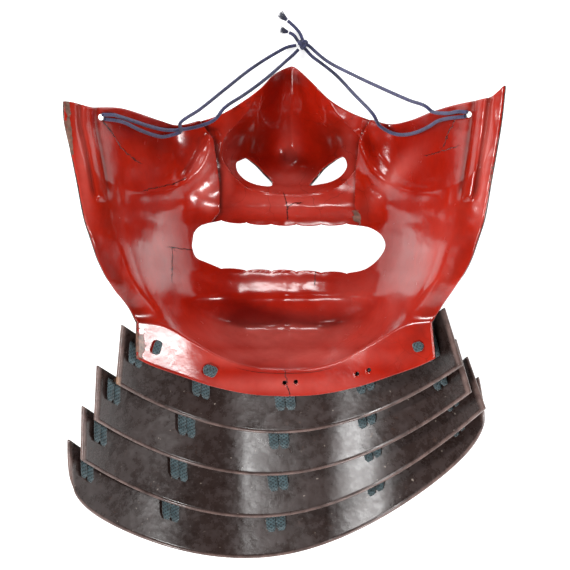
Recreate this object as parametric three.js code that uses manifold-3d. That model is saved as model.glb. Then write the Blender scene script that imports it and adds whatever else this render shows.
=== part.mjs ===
// A samurai face guard with its laced throat guard, lying face down: the nose tip and the lowest
// lame touch the floor and the inside faces up. Millimetres. +X to the right of somebody looking
// down into the guard, +Y from the throat towards the nose bridge, +Z up, away from the floor.
import * as THREE from 'three';
import { mergeVertices } from 'three/addons/utils/BufferGeometryUtils.js';
import Module from 'manifold-3d';

const wasm = await Module();
wasm.setup();

// Driving dimensions
const SHELL_THICKNESS = 1.8;
const PLATE_THICKNESS = 1.6;
const LAME_THICKNESS = 1.5;
const LAME_COLUMNS = 30;
const GAP = 0.3;                 // air between pieces that touch
const PLATE_GAP = 1.3;           // air between the cheeks and the nose plate behind them
const SEAM_OVERLAP = 3.2;        // how far the nose plate reaches behind the cheeks
const FLANGE_ROWS = 2;
const SHELL_COLUMNS = 48;
const SHELL_ROWS = 24;
const ORIGIN_SHIFT = new THREE.Vector3(1.07, 0.68, 0.9);
const FLOOR = -ORIGIN_SHIFT.z;    // height of the floor before the shift
const ROOM = 200.0;              // larger than the guard: reach of a cut that goes right through
const DRILL_LENGTH = 12.0;
const CORD_DIAMETER = 1.6;
const CORD_STEP = 9.5;           // length of one straight piece of a cord
const KNOT_FLATNESS = 0.8;
const TUFT_FLATNESS = 0.45;
const LACE_WIDTH = 9.2;          // a pair of laces side by side
const LACE_THICKNESS = 1.8;
const LACE_STAND = 0.55;         // air under a pair, which is straight where the lame is curved
const LACE_END_SCALE = 0.6;      // the pair narrows where it dives into its holes

// Side edges of the shell: height y, left x, right x, depth z
const SIDE_EDGE = [
  [-4.0, -62.4, 61.8, 77.0],
  [3.2, -66.8, 66.5, 86.0],
  [10.0, -71.7, 70.8, 93.0],
  [20.8, -77.0, 76.5, 101.5],
  [31.0, -80.2, 79.8, 107.0],
  [40.0, -82.8, 82.3, 110.0],
  [55.0, -85.6, 84.8, 112.0],
  [69.0, -88.4, 87.3, 113.0],
  [81.0, -90.9, 89.2, 113.5],
  [94.0, -91.0, 90.6, 114.0],
];

// Heights of the two top corners beside the ears
const SIDE_TOP = { left: 87.5, right: 94.0 };

// Top edge of the shell from the left ear over the nose bridge to the right ear: x, y
const TOP_EDGE = [
  [-91.0, 87.5], [-87.2, 87.1], [-80.7, 85.6], [-69.3, 86.2], [-61.6, 84.7], [-53.7, 82.5],
  [-46.3, 80.7], [-38.2, 82.4], [-27.4, 86.1], [-17.5, 92.0], [-10.1, 97.6], [-4.4, 103.8],
  [2.6, 107.5], [5.3, 106.6], [11.0, 101.1], [18.8, 93.0], [28.3, 87.0], [39.1, 82.7],
  [45.5, 81.2], [53.9, 82.5], [62.0, 85.2], [69.7, 87.0], [81.2, 88.7], [86.0, 89.9], [90.6, 94.0],
];

// Where the chin bowl turns into the flange, and the flange's lower edge: distance from the middle, y, z
const FLANGE_TOP = [
  [0.0, -25.3, 50.0], [14.0, -24.2, 51.0], [27.0, -20.0, 55.0],
  [40.0, -12.4, 62.0], [51.4, -5.7, 70.0], [62.4, -4.0, 77.0],
];
const FLANGE_BOTTOM = [
  [0.0, -36.8, 43.0], [15.0, -35.8, 45.0], [31.0, -32.2, 52.0],
  [44.0, -27.6, 60.5], [56.5, -22.9, 69.0], [63.4, -19.4, 74.0],
];
const FLANGE_BOTTOM_HALF_WIDTH = 63.0;
const FLANGE_BOTTOM_MIDDLE_X = 0.4;

// Size of the face, by which a search for a place takes its steps, and the step for slopes
const FACE_WIDTH = 180.0;
const FACE_HEIGHT = 115.0;
const SEARCH_STEPS = 12;
const SLOPE_STEP = 0.004;

// Spacing of the shell's columns from the middle (0) to the ear (1): share of columns, share of half-width
const COLUMN_SPACING = [
  [0.0, 0.0], [0.5, 0.4], [0.8, 0.83], [0.875, 0.88], [0.9167, 0.905], [0.9583, 0.93], [1.0, 1.0],
];

// How the section climbs from the middle (0) to the ear (1): share of half-width, share of depth
const CHEEK_CLIMB = [
  [0.0, 0.0], [0.3, 0.03], [0.5, 0.14], [0.6, 0.28], [0.7, 0.52], [0.8, 0.76], [0.9, 0.91], [1.0, 1.0],
];

// Depth of the middle of the face without the nose: height y, z
const MIDDLE_DEPTH = [
  [-26.0, 13.0], [-16.0, 12.0], [-8.0, 12.0], [0.0, 19.0], [6.0, 23.0], [12.0, 20.5], [18.0, 16.5],
  [28.0, 17.0], [38.0, 18.5], [45.0, 24.0], [53.0, 25.5], [65.0, 29.0], [80.0, 33.0], [95.0, 36.0],
  [108.0, 38.0],
];
const BOWL_TURN = 0.2;           // share of the rows over which the chin bowl climbs to the flange
const BOWL_TURN_POWER = 1.8;

// The nose: height y, half-width, depth of the wings, further depth of the ridge, ridge half-width
const NOSE_SECTIONS = [
  [50.0, 12.0, 0.0, 0.0, 9.0],
  [55.0, 19.0, 2.0, 1.5, 10.0],
  [60.0, 23.5, 9.0, 6.5, 12.0],
  [66.0, 27.0, 13.5, 12.5, 14.0],
  [70.0, 27.6, 15.0, 13.0, 15.0],
  [76.0, 27.0, 14.0, 13.0, 14.0],
  [82.0, 22.5, 9.0, 14.0, 13.0],
  [88.0, 18.0, 4.0, 14.5, 12.0],
  [96.0, 15.0, 2.0, 13.0, 11.0],
  [108.0, 12.0, 1.0, 11.0, 10.0],
];
const NOSE_AXIS_X = 3.0;
const NOSE_START = { y: 50.0, run: 5.0 };   // height at which the nose starts, and the run of its growth
const WING_POWER = 4;                       // the wings fall off steeply, the ridge almost straight
const RIDGE_POWER = 1.7;

// The cheek: a hollow inside an ellipse, with a ridge along the ellipse's lower inner quarter
const CHEEK_CENTRE = { x: 60.0, y: 77.0 };
const CHEEK_RADII = { x: 27.0, y: 25.5 };
const CHEEK_HOLLOW_DEPTH = 5.0;
const CHEEK_RIDGE = { at: 1.02, width: 0.13, height: 3.6 };
const CHEEK_RIDGE_LOW = { from: 0.15, run: 0.35 };     // the ridge shows below this height
const CHEEK_RIDGE_INNER = { from: -0.35, run: 0.5 };   // and inwards of this place

// The ear-side bead and the step along the jaw, as shares of the half-width
const BEAD = { at: 0.905, halfWidth: 0.026, height: 1.9, bottom: 46.0, run: 2.5 };
const JAW_STEP = { at: 0.86, width: 0.035, height: 1.1, top: 56.0, run: 12.0 };

// Seams between the nose plate and the cheeks, from the top down: x, y
const LEFT_SEAM = [
  [-40.5, 88.0], [-35.8, 81.0], [-31.5, 75.0], [-30.2, 66.2], [-28.9, 55.3], [-28.9, 43.5], [-33.0, 38.6],
];
const RIGHT_SEAM = [
  [39.5, 87.0], [35.3, 80.0], [32.3, 74.0], [31.2, 64.0], [31.0, 57.5], [30.7, 46.5], [33.0, 38.0],
];
const PLATE_TOP = { halfWidth: 42.0, y: 120.0 };   // the nose plate reaches past the top edge
const PLATE_LIP = { halfWidth: 20.0, y: 25.0 };    // and into the mouth, which cuts it off

// Mouth outline anticlockwise from its left corner: x, y
const MOUTH = [
  [-40.8, 29.0], [-38.9, 23.6], [-34.5, 21.4], [-29.6, 19.6], [-19.9, 18.6], [0.0, 18.3], [22.0, 17.5],
  [33.2, 17.8], [39.8, 21.8], [43.8, 28.4], [42.5, 33.0], [38.5, 36.2], [32.3, 37.9], [15.0, 37.8],
  [-6.0, 38.0], [-20.0, 38.8], [-31.0, 39.4], [-37.6, 37.3], [-40.3, 33.6],
];
const LEFT_NOSTRIL = [
  [-21.3, 66.2], [-21.2, 62.2], [-18.8, 59.0], [-15.5, 56.9], [-10.0, 55.4], [-5.6, 55.6], [-5.1, 57.6],
  [-8.4, 61.4], [-12.9, 65.8], [-17.8, 68.2],
];
const RIGHT_NOSTRIL = [
  [10.2, 56.0], [16.0, 56.2], [21.3, 57.6], [25.3, 60.3], [27.4, 64.4], [25.6, 68.4], [20.0, 66.2],
  [15.5, 62.7],
];

// Small round holes: x, y, radius
const CHEEK_HOLES = [[-76.6, 81.8, 2.2], [76.5, 83.0, 2.2]];
const FLANGE_HOLES = [[-0.2, -31.0, 1.3], [4.7, -30.6, 1.3], [31.0, -26.9, 1.3], [36.0, -25.2, 1.3]];

// The throat guard from the flange down. Middle of the bottom and top edge (x, y, z), half-width,
// how far the ends lie higher (rise) and nearer to the throat (climb), and the slope of the whole lame
const LAMES = [
  {
    bottom: [1.7, -53.2, 31.0], top: [-0.6, -31.5, 41.0], half: [73.0, 68.4], rise: [26.4, 27.5],
    climb: 45.5, slope: 0.053,
  },
  {
    bottom: [-0.9, -72.2, 20.0], top: [-3.4, -48.5, 27.8], half: [79.9, 76.0], rise: [31.8, 30.9],
    climb: 40.5, slope: 0.073,
  },
  {
    bottom: [-0.7, -90.9, 9.5], top: [-4.1, -67.5, 16.5], half: [86.2, 82.1], rise: [38.2, 37.3],
    climb: 36.5, slope: 0.127,
  },
  {
    bottom: [-2.7, -109.3, 0.3], top: [-4.7, -86.0, 5.9], half: [91.0, 88.0], rise: [42.0, 44.0],
    climb: 32.0, slope: 0.151,
  },
];
const LAME_FLAT = 17.0;           // the lames are straight up to here from the middle
const LAME_SPAN = 60.0;           // and climb by their climb over this distance
// The last lame's rounded lower corners: how far they rise and draw in, and how near the ends they start
const LAST_LAME_CORNER = { rise: 5.0, draw: 2.0, power: 16 };

// Laces: share of the lame's half-width, for the pairs from left to right
const LACE_PLACES = [-0.93, -0.53, 0.0, 0.5, 0.9];
const LACE_NAMES = ['far_left', 'left', 'middle', 'right', 'far_right'];
const LACE_SHOWN = 7.5;          // run on the inner face below the edge above
const LAP = 4.7;                 // how far a lame reaches behind the edge above it
const LACE_HIDDEN = 2.2;         // run of a lace in the gap behind that edge
const LAP_GROWTH = 3.0;          // further reach towards the right end, where the guard hangs lower
const LACE_RUN_ABOVE = [10.0, 7.5, 5.2];   // places on the plate above, from its lower edge
const LACE_END_PLACE = 0.8;      // pairs nearer to an end than this have no run on the plate above
// Laces that show on the flange: share of its width, share of its height, half-width, half-height
const FLANGE_LACES = {
  far_left: [0.06, 0.45, 2.1, 3.4], left: [0.24, 0.45, 3.6, 2.6], far_right: [0.955, 0.45, 2.7, 2.2],
};

// The tie cord. Stretches on the face: x, y, height above the face. Free stretches: x, y, z.
const KNOT = { x: 8.0, y: 119.2, radius: 2.6 };
const TIE_CORDS = {
  tie_cord_left_over: {
    face: [[-76.2, 81.2, 0.6], [-72.8, 80.9, 2.1], [-69.4, 80.2, 2.0], [-63.6, 77.7, 2.0], [-57.7, 76.1, 2.0],
      [-54.5, 75.9, 2.0], [-51.4, 76.9, 2.4], [-48.4, 78.8, 4.2]],
    free: [[-45.2, 81.6, 54.0], [-37.0, 88.0, 44.0], [-26.3, 97.6, 29.0], [-15.4, 107.2, 14.5],
      [-4.8, 114.7, 4.2], [1.0, 117.9, 1.5], [5.0, 118.8, 1.2]],
  },
  tie_cord_left_under: {
    face: [[-77.0, 83.0, 0.6], [-74.0, 83.2, 2.1], [-71.2, 82.6, 2.0], [-65.5, 81.2, 2.0], [-59.6, 79.8, 2.0],
      [-53.6, 79.0, 2.0], [-47.5, 79.4, 2.0], [-41.2, 80.5, 2.0], [-36.0, 82.0, 2.2], [-31.4, 84.4, 2.8]],
    free: [[-26.6, 88.5, 42.0], [-17.7, 95.2, 31.0], [-9.0, 102.4, 18.5], [-0.3, 110.7, 6.2],
      [4.0, 114.8, 2.2], [6.0, 116.9, 1.4]],
  },
  tie_cord_right_over: {
    face: [[76.9, 84.0, 0.6], [74.4, 84.3, 2.1], [71.6, 84.0, 2.0], [68.4, 84.2, 2.2], [65.0, 85.3, 2.6]],
    free: [[59.7, 87.7, 77.0], [53.5, 90.6, 67.0], [43.2, 96.3, 49.5], [30.5, 103.7, 28.0],
      [18.9, 111.0, 10.5], [13.4, 116.0, 3.0], [10.9, 118.4, 1.6]],
  },
  tie_cord_right_under: {
    face: [[76.1, 82.2, 0.6], [73.6, 81.9, 2.1], [70.4, 81.8, 2.0], [66.5, 81.0, 2.0], [63.0, 79.0, 2.0],
      [57.8, 77.1, 2.0], [53.0, 76.7, 2.0], [48.8, 77.5, 2.0], [45.5, 79.2, 2.4], [42.5, 81.6, 3.0]],
    free: [[38.6, 85.2, 46.5], [30.6, 95.1, 29.5], [22.4, 105.0, 13.0], [16.6, 110.2, 5.5],
      [12.0, 113.9, 2.0], [9.6, 116.5, 1.5]],
  },
  tie_end_long: {
    face: [],
    free: [[7.5, 122.3, 1.3], [6.5, 124.4, 1.0], [4.7, 126.6, 1.0], [2.6, 128.6, 1.0], [1.2, 129.8, 1.0]],
  },
  tie_end_short: {
    face: [],
    free: [[5.5, 121.1, 1.3], [4.4, 122.8, 1.0], [3.1, 123.9, 1.0], [1.8, 124.5, 1.0]],
  },
};
const TUFTS = {
  tie_tuft_long: { from: [0.9, 130.1, 1.15], to: [-2.9, 133.2, 1.15], radius: 2.3 },
  tie_tuft_short: { from: [1.4, 124.7, 1.15], to: [-2.4, 125.9, 1.15], radius: 2.0 },
};

// Materials of the real thing
const RED_LACQUER = { color: 0xa0241a, roughness: 0.28, metalness: 0.0 };
const DARK_LACQUER = { color: 0x3a2a28, roughness: 0.35, metalness: 0.1 };
const TEAL_LACE = { color: 0x2b474b, roughness: 0.85, metalness: 0.0 };
const NAVY_CORD = { color: 0x2c2f58, roughness: 0.8, metalness: 0.0 };

// Value of a smooth curve through the rows of a table whose first column climbs
function smooth(table, at, column = 1) {
  const last = table.length - 1;
  const x = Math.min(Math.max(at, table[0][0]), table[last][0]);
  let i = 0;
  while (i < last - 1 && x > table[i + 1][0]) i += 1;
  const slopeAt = (k) => {
    const a = table[Math.max(k - 1, 0)];
    const b = table[Math.min(k + 1, last)];
    return (b[column] - a[column]) / (b[0] - a[0]);
  };
  const h = table[i + 1][0] - table[i][0];
  const t = (x - table[i][0]) / h;
  const rest = 1 - t;
  return (1 + 2 * t) * rest * rest * table[i][column] + t * rest * rest * h * slopeAt(i)
    + t * t * (3 - 2 * t) * table[i + 1][column] - t * t * rest * h * slopeAt(i + 1);
}

const mix = (a, b, t) => a + (b - a) * t;
const bump = (d, width) => Math.exp(-((d / width) ** 2));
const ease = (t) => {
  const c = Math.min(Math.max(t, 0), 1);
  return c * c * (3 - 2 * c);
};

// Depth that the nose takes out of the face at a place
function noseDepth(x, y) {
  const half = smooth(NOSE_SECTIONS, y, 1);
  const wings = smooth(NOSE_SECTIONS, y, 2);
  const ridge = smooth(NOSE_SECTIONS, y, 3);
  const ridgeHalf = smooth(NOSE_SECTIONS, y, 4);
  const across = Math.abs(x - NOSE_AXIS_X);
  const fade = ease((y - NOSE_START.y) / NOSE_START.run);
  const wingShape = Math.max(0, 1 - (across / half) ** WING_POWER);
  const ridgeShape = Math.max(0, 1 - (across / ridgeHalf) ** RIDGE_POWER);
  return fade * (Math.max(wings, 0) * wingShape + Math.max(ridge, 0) * ridgeShape);
}

// Relief of the cheeks: a hollow, and a ridge that fades out towards the ear
function cheekRelief(x, y) {
  const dx = (CHEEK_CENTRE.x - Math.abs(x)) / CHEEK_RADII.x;
  const dy = (y - CHEEK_CENTRE.y) / CHEEK_RADII.y;
  const r = Math.hypot(dx, dy);
  const hollow = -CHEEK_HOLLOW_DEPTH * Math.max(0, 1 - r * r);
  const low = ease((CHEEK_RIDGE_LOW.from - dy) / CHEEK_RIDGE_LOW.run);
  const inner = ease((dx - CHEEK_RIDGE_INNER.from) / CHEEK_RIDGE_INNER.run);
  return hollow + CHEEK_RIDGE.height * bump(r - CHEEK_RIDGE.at, CHEEK_RIDGE.width) * low * inner;
}

// Relief near the ear and the jaw, from the share of the half-width
function sideRelief(share, y) {
  const onBead = Math.max(0, 1 - ((share - BEAD.at) / BEAD.halfWidth) ** 2);
  const bead = BEAD.height * Math.sqrt(onBead) * ease((y - BEAD.bottom) / BEAD.run);
  const onStep = bump(share - JAW_STEP.at, JAW_STEP.width) * ease((JAW_STEP.top - y) / JAW_STEP.run);
  return bead + JAW_STEP.height * onStep;
}

// Inner surface of the chin bowl and face at shares s (left to right) and v (flange to top edge)
function facePoint(s, v, withRelief = true) {
  const yTop = smooth(TOP_EDGE, mix(SIDE_EDGE.at(-1)[1], SIDE_EDGE.at(-1)[2], s));
  const across = Math.abs(2 * s - 1);
  const bottomAt = across * FLANGE_TOP.at(-1)[0];
  const y = mix(smooth(FLANGE_TOP, bottomAt, 1), yTop, v);
  const sideY = mix(FLANGE_TOP.at(-1)[1], mix(SIDE_TOP.left, SIDE_TOP.right, s), v);
  const x = mix(smooth(SIDE_EDGE, sideY, 1), smooth(SIDE_EDGE, sideY, 2), s);
  const middle = smooth(MIDDLE_DEPTH, y);
  const side = smooth(SIDE_EDGE, sideY, 3);
  let z = mix(middle, side, smooth(CHEEK_CLIMB, across));
  const turn = Math.max(0, 1 - v / BOWL_TURN) ** BOWL_TURN_POWER;
  if (withRelief) {
    z += (1 - turn) * (cheekRelief(x, y) + sideRelief(across, y) - noseDepth(x, y));
  } else {
    z -= (1 - turn) * noseDepth(x, y);
  }
  z = mix(z, smooth(FLANGE_TOP, bottomAt, 2), turn);
  return new THREE.Vector3(x, y, z);
}

// Inner surface of the flange at shares s (left to right) and v (lower edge to chin bowl)
function flangePoint(s, v) {
  const across = 2 * s - 1;
  const low = Math.abs(across) * FLANGE_BOTTOM_HALF_WIDTH;
  const upper = facePoint(s, 0);
  const lower = new THREE.Vector3(
    across * FLANGE_BOTTOM_HALF_WIDTH + FLANGE_BOTTOM_MIDDLE_X,
    smooth(FLANGE_BOTTOM, low, 1),
    smooth(FLANGE_BOTTOM, low, 2),
  );
  return lower.lerp(upper, v);
}

// Unit direction out of the back of a surface, from its own slopes
function backwards(point, a, b) {
  const e = SLOPE_STEP;
  const along = point(Math.min(a + e, 1), b).sub(point(Math.max(a - e, 0), b));
  const up = point(a, Math.min(b + e, 1)).sub(point(a, Math.max(b - e, 0)));
  return up.cross(along).normalize();
}

// A closed sheet: a flat box whose upper side is bent onto the surface and lower side lies behind it
function sheet(point, thickness, columns, rows, smoothPoint = point) {
  const geometry = new THREE.BoxGeometry(1, 1, 1, columns, rows, 1);
  const position = geometry.attributes.position;
  for (let i = 0; i < position.count; i += 1) {
    const a = position.getX(i) + 0.5;
    const b = position.getY(i) + 0.5;
    const behind = thickness * (0.5 - position.getZ(i));
    const p = point(a, b).addScaledVector(backwards(smoothPoint, a, b), behind);
    position.setXYZ(i, p.x, p.y, p.z);
  }
  return geometry;
}

// Shell surface over one grid: the flange's rows first, then the face
function shellPoint(a, b, withRelief = true) {
  const side = 2 * a - 1;
  const s = (1 + Math.sign(side) * smooth(COLUMN_SPACING, Math.abs(side))) / 2;
  const row = b * SHELL_ROWS;
  if (row < FLANGE_ROWS) return flangePoint(s, row / FLANGE_ROWS);
  return facePoint(s, (row - FLANGE_ROWS) / (SHELL_ROWS - FLANGE_ROWS), withRelief);
}

// Shares (s, v) of the face whose point lies at x, y
function locate(x, y) {
  let s = 0.5;
  let v = 0.5;
  for (let i = 0; i < SEARCH_STEPS; i += 1) {
    const p = facePoint(s, v, false);
    s = Math.min(Math.max(s + (x - p.x) / FACE_WIDTH, 0), 1);
    v = Math.min(Math.max(v + (y - p.y) / FACE_HEIGHT, 0), 1);
  }
  return { s, v };
}

// Place at x, y a given height above the face's inner surface
function aboveFace(x, y, height) {
  const at = locate(x, y);
  const point = facePoint(at.s, at.v);
  const back = backwards((a, b) => facePoint(a, b, false), at.s, at.v);
  return new THREE.Vector3(x, y, point.z).addScaledVector(back, -height);
}

// Solids are joined and cut with manifold
function toSolid(geometry) {
  const bare = geometry.index ? geometry : geometry.clone();
  bare.deleteAttribute('normal');
  bare.deleteAttribute('uv');
  const merged = mergeVertices(bare, 1e-4);
  return new wasm.Manifold(new wasm.Mesh({
    numProp: 3,
    vertProperties: new Float32Array(merged.attributes.position.array),
    triVerts: new Uint32Array(merged.index.array),
  }));
}

function toGeometry(solid) {
  const mesh = solid.getMesh();
  const geometry = new THREE.BufferGeometry();
  geometry.setAttribute('position', new THREE.BufferAttribute(new Float32Array(mesh.vertProperties), 3));
  geometry.setIndex(new THREE.BufferAttribute(new Uint32Array(mesh.triVerts), 1));
  return geometry;
}

// A tall upright prism over an outline
function prism(outline, smoothed = true) {
  const points = outline.map(([x, y]) => new THREE.Vector2(x, y));
  const shape = new THREE.Shape();
  if (smoothed) {
    const closed = new THREE.CatmullRomCurve3(points.map((p) => new THREE.Vector3(p.x, p.y, 0)), true);
    const smoothPoints = closed.getPoints(points.length * 2).slice(0, -1);
    shape.setFromPoints(smoothPoints.map((p) => new THREE.Vector2(p.x, p.y)));
  } else {
    shape.setFromPoints(points);
  }
  const geometry = new THREE.ExtrudeGeometry(shape, { depth: 2 * ROOM, bevelEnabled: false });
  geometry.translate(0, 0, -ROOM);
  return toSolid(geometry);
}

// A solid's part above the floor
function aboveFloor(solid) {
  const room = new THREE.BoxGeometry(2 * ROOM, 2 * ROOM, ROOM);
  room.translate(0, 0, ROOM / 2 + FLOOR);
  return solid.intersect(toSolid(room));
}

// A drill along the surface's own direction at x, y
function drill(x, y, radius, direction, z) {
  const geometry = new THREE.CylinderGeometry(radius, radius, DRILL_LENGTH, 10);
  const turn = new THREE.Quaternion().setFromUnitVectors(new THREE.Vector3(0, 1, 0), direction);
  geometry.applyQuaternion(turn);
  geometry.translate(x, y, z);
  return toSolid(geometry);
}

// Outline of the nose plate, widened by a margin on both sides
function plateOutline(margin) {
  const left = LEFT_SEAM.map(([x, y]) => [x - margin, y]);
  const right = RIGHT_SEAM.map(([x, y]) => [x + margin, y]).reverse();
  const top = PLATE_TOP.halfWidth + margin;
  return [
    [-top, PLATE_TOP.y], ...left, [-PLATE_LIP.halfWidth, PLATE_LIP.y],
    [PLATE_LIP.halfWidth, PLATE_LIP.y], ...right, [top, PLATE_TOP.y],
  ];
}

function faceShell() {
  const bare = (a, b) => shellPoint(a, b, false);
  const whole = toSolid(sheet(shellPoint, SHELL_THICKNESS, SHELL_COLUMNS, SHELL_ROWS, bare));
  let shell = whole.subtract(prism(plateOutline(0), false)).subtract(prism(MOUTH));
  for (const [x, y, radius] of CHEEK_HOLES) {
    const at = locate(x, y);
    const back = backwards((a, b) => facePoint(a, b, false), at.s, at.v);
    shell = shell.subtract(drill(x, y, radius, back, facePoint(at.s, at.v).z));
  }
  for (const [x, y, radius] of FLANGE_HOLES) {
    const s = (x / FLANGE_BOTTOM_HALF_WIDTH + 1) / 2;
    shell = shell.subtract(drill(x, y, radius, backwards(flangePoint, s, 0.5), flangePoint(s, 0.5).z));
  }
  return toGeometry(shell);
}

// The nose plate lies behind the shell by the shell's thickness and a gap
function platePoint(a, b) {
  const back = backwards((c, d) => shellPoint(c, d, false), a, b);
  return shellPoint(a, b).addScaledVector(back, SHELL_THICKNESS + PLATE_GAP);
}

function nosePlate() {
  const bare = (a, b) => shellPoint(a, b, false);
  const whole = toSolid(sheet(platePoint, PLATE_THICKNESS, SHELL_COLUMNS, SHELL_ROWS, bare));
  const plate = whole.intersect(prism(plateOutline(SEAM_OVERLAP), false)).subtract(prism(MOUTH))
    .subtract(prism(LEFT_NOSTRIL)).subtract(prism(RIGHT_NOSTRIL));
  return toGeometry(aboveFloor(plate));
}

// A lame's inner face at shares a (left to right) and b (bottom to top edge)
function lamePoint(lame, a, b) {
  const side = 2 * a - 1;
  const half = mix(lame.half[0], lame.half[1], b);
  const rounding = lame === LAMES.at(-1) ? (1 - b) ** 2 * Math.abs(side) ** LAST_LAME_CORNER.power : 0;
  const x = mix(lame.bottom[0], lame.top[0], b)
    + side * (half - LAST_LAME_CORNER.draw * rounding);
  const y = mix(lame.bottom[1] + lame.rise[0] * side * side, lame.top[1] + lame.rise[1] * side * side, b)
    + lame.slope * side * half + LAST_LAME_CORNER.rise * rounding;
  const across = Math.max(0, Math.abs(x) - LAME_FLAT) / LAME_SPAN;
  const z = mix(lame.bottom[2], lame.top[2], b) + lame.climb * across ** 2;
  return new THREE.Vector3(x, y, z);
}

function throatLame(lame) {
  const solid = toSolid(sheet((a, b) => lamePoint(lame, a, b), LAME_THICKNESS, LAME_COLUMNS, 2));
  return toGeometry(aboveFloor(solid));
}

// Section of a pair of laces side by side
function lacePairShape() {
  const half = LACE_WIDTH / 4;
  const thick = LACE_THICKNESS / 2;
  const shape = new THREE.Shape();
  const waist = thick * 0.55;
  const points = [
    [-2 * half, 0], [-1.55 * half, thick], [-0.45 * half, thick], [0, waist], [0.45 * half, thick],
    [1.55 * half, thick], [2 * half, 0], [1.55 * half, -thick], [-1.55 * half, -thick],
  ];
  shape.setFromPoints(points.map(([x, y]) => new THREE.Vector2(x, y)));
  return shape;
}

// Share of a surface's width at which its middle height has a given x
function shareAtX(point, x) {
  let a = 0.5;
  for (let i = 0; i < SEARCH_STEPS; i += 1) a += (x - point(a, 0.5).x) / FACE_WIDTH;
  return Math.min(Math.max(a, 0.02), 0.98);
}

// A pair of laces: from its holes in the plate above, down that plate's outer face, through the gap
// and over the lame's inner face to its holes there
function lacePair(upper, upperThickness, upperRun, lame, share) {
  const lower = (a, b) => lamePoint(lame, a, b);
  const a = (share + 1) / 2;
  const length = lower(a, 1).distanceTo(lower(a, 0));
  const lap = LAP + LAP_GROWTH * Math.max(share, 0) ** 3;
  const upperAt = shareAtX(upper, lower(a, 1).x);
  const stand = LACE_THICKNESS / 2 + LACE_STAND;
  const upperLength = upper(upperAt, 1).distanceTo(upper(upperAt, 0));
  const path = upperRun.map((distance) => {
    const b = distance / upperLength;
    return upper(upperAt, b).addScaledVector(backwards(upper, upperAt, b), upperThickness + stand);
  });
  for (let i = 0; i <= 3; i += 1) {
    const b = 1 - (lap - LACE_HIDDEN + (LACE_HIDDEN + LACE_SHOWN) * (i / 3)) / length;
    path.push(lower(a, b).addScaledVector(backwards(lower, a, b), -stand));
  }
  const across = lower(a + 0.01, 0.5).sub(lower(a - 0.01, 0.5)).normalize();
  const out = backwards(lower, a, 0.5).negate();
  return strip(path, lacePairShape(), across, out);
}

// Sweeps a shape along a short path with a fixed across direction
function strip(path, shape, across, out) {
  const curve = new THREE.CatmullRomCurve3(path);
  const steps = path.length - 1;
  const geometry = new THREE.ExtrudeGeometry(shape, { depth: 1, steps, bevelEnabled: false });
  const position = geometry.attributes.position;
  for (let i = 0; i < position.count; i += 1) {
    const t = Math.min(Math.max(position.getZ(i), 0), 1);
    const scale = t < 0.01 || t > 0.99 ? LACE_END_SCALE : 1;
    const p = curve.getPoint(t);
    p.addScaledVector(across, position.getX(i) * scale);
    p.addScaledVector(out, position.getY(i) * scale);
    position.setXYZ(i, p.x, p.y, p.z);
  }
  return toGeometry(toSolid(geometry));
}

// A lace that shows on the flange as a flat oval
function flangeLace(share, height, halfWidth, halfHeight) {
  const geometry = new THREE.SphereGeometry(1, 10, 6);
  const along = flangePoint(share + 0.01, height).sub(flangePoint(share - 0.01, height)).normalize();
  const out = backwards(flangePoint, share, height).negate();
  const up = out.clone().cross(along).normalize();
  const half = LACE_THICKNESS / 2;
  const place = new THREE.Matrix4().makeBasis(
    along.multiplyScalar(halfWidth), up.multiplyScalar(halfHeight), out.clone().multiplyScalar(half));
  place.setPosition(flangePoint(share, height).addScaledVector(out, half + GAP));
  geometry.applyMatrix4(place);
  return toGeometry(toSolid(geometry));
}

// A plain round cord through a list of places
function cord(stretch) {
  const onFace = stretch.face.map(([x, y, height]) => aboveFace(x, y, height));
  const free = stretch.free.map(([x, y, z]) => new THREE.Vector3(x, y, z + FLOOR));
  const curve = new THREE.CatmullRomCurve3([...onFace, ...free], false, 'centripetal');
  const section = new THREE.Shape();
  const corners = [];
  for (let i = 0; i < 8; i += 1) {
    const turn = (i / 8) * 2 * Math.PI;
    corners.push(new THREE.Vector2(Math.cos(turn), Math.sin(turn)).multiplyScalar(CORD_DIAMETER / 2));
  }
  section.setFromPoints(corners);
  const steps = Math.max(4, Math.round(curve.getLength() / CORD_STEP));
  return new THREE.ExtrudeGeometry(section, { steps, extrudePath: curve, bevelEnabled: false });
}

// A tuft: a small head that opens into a brush
function tuft({ from, to, radius }) {
  const start = new THREE.Vector3(...from);
  const end = new THREE.Vector3(...to);
  const length = start.distanceTo(end);
  const profile = [[0, 0], [0.35, 0.02], [0.5, 0.2], [0.4, 0.35], [0.85, 0.65], [1.0, 0.95], [0, 1]];
  const points = profile.map(([r, h]) => new THREE.Vector2(r * radius, h * length));
  const geometry = new THREE.LatheGeometry(points, 10);
  geometry.scale(1, 1, TUFT_FLATNESS);
  const axis = end.sub(start).normalize();
  const flat = new THREE.Matrix4().makeBasis(
    new THREE.Vector3(0, 0, 1).cross(axis).negate(), axis, new THREE.Vector3(0, 0, 1));
  geometry.applyMatrix4(flat);
  geometry.translate(start.x, start.y, start.z + FLOOR);
  return toGeometry(toSolid(geometry));
}

// A round knot, slightly flat, that lies on the floor
function knot() {
  const geometry = new THREE.SphereGeometry(KNOT.radius, 10, 7);
  geometry.scale(1, 1, KNOT_FLATNESS);
  geometry.translate(KNOT.x, KNOT.y, KNOT.radius * KNOT_FLATNESS + FLOOR);
  return geometry;
}

const group = new THREE.Group();

function add(name, geometry, finish) {
  geometry.computeVertexNormals();
  const mesh = new THREE.Mesh(geometry, new THREE.MeshStandardMaterial(finish));
  mesh.name = name;
  mesh.position.copy(ORIGIN_SHIFT);
  group.add(mesh);
}

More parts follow.
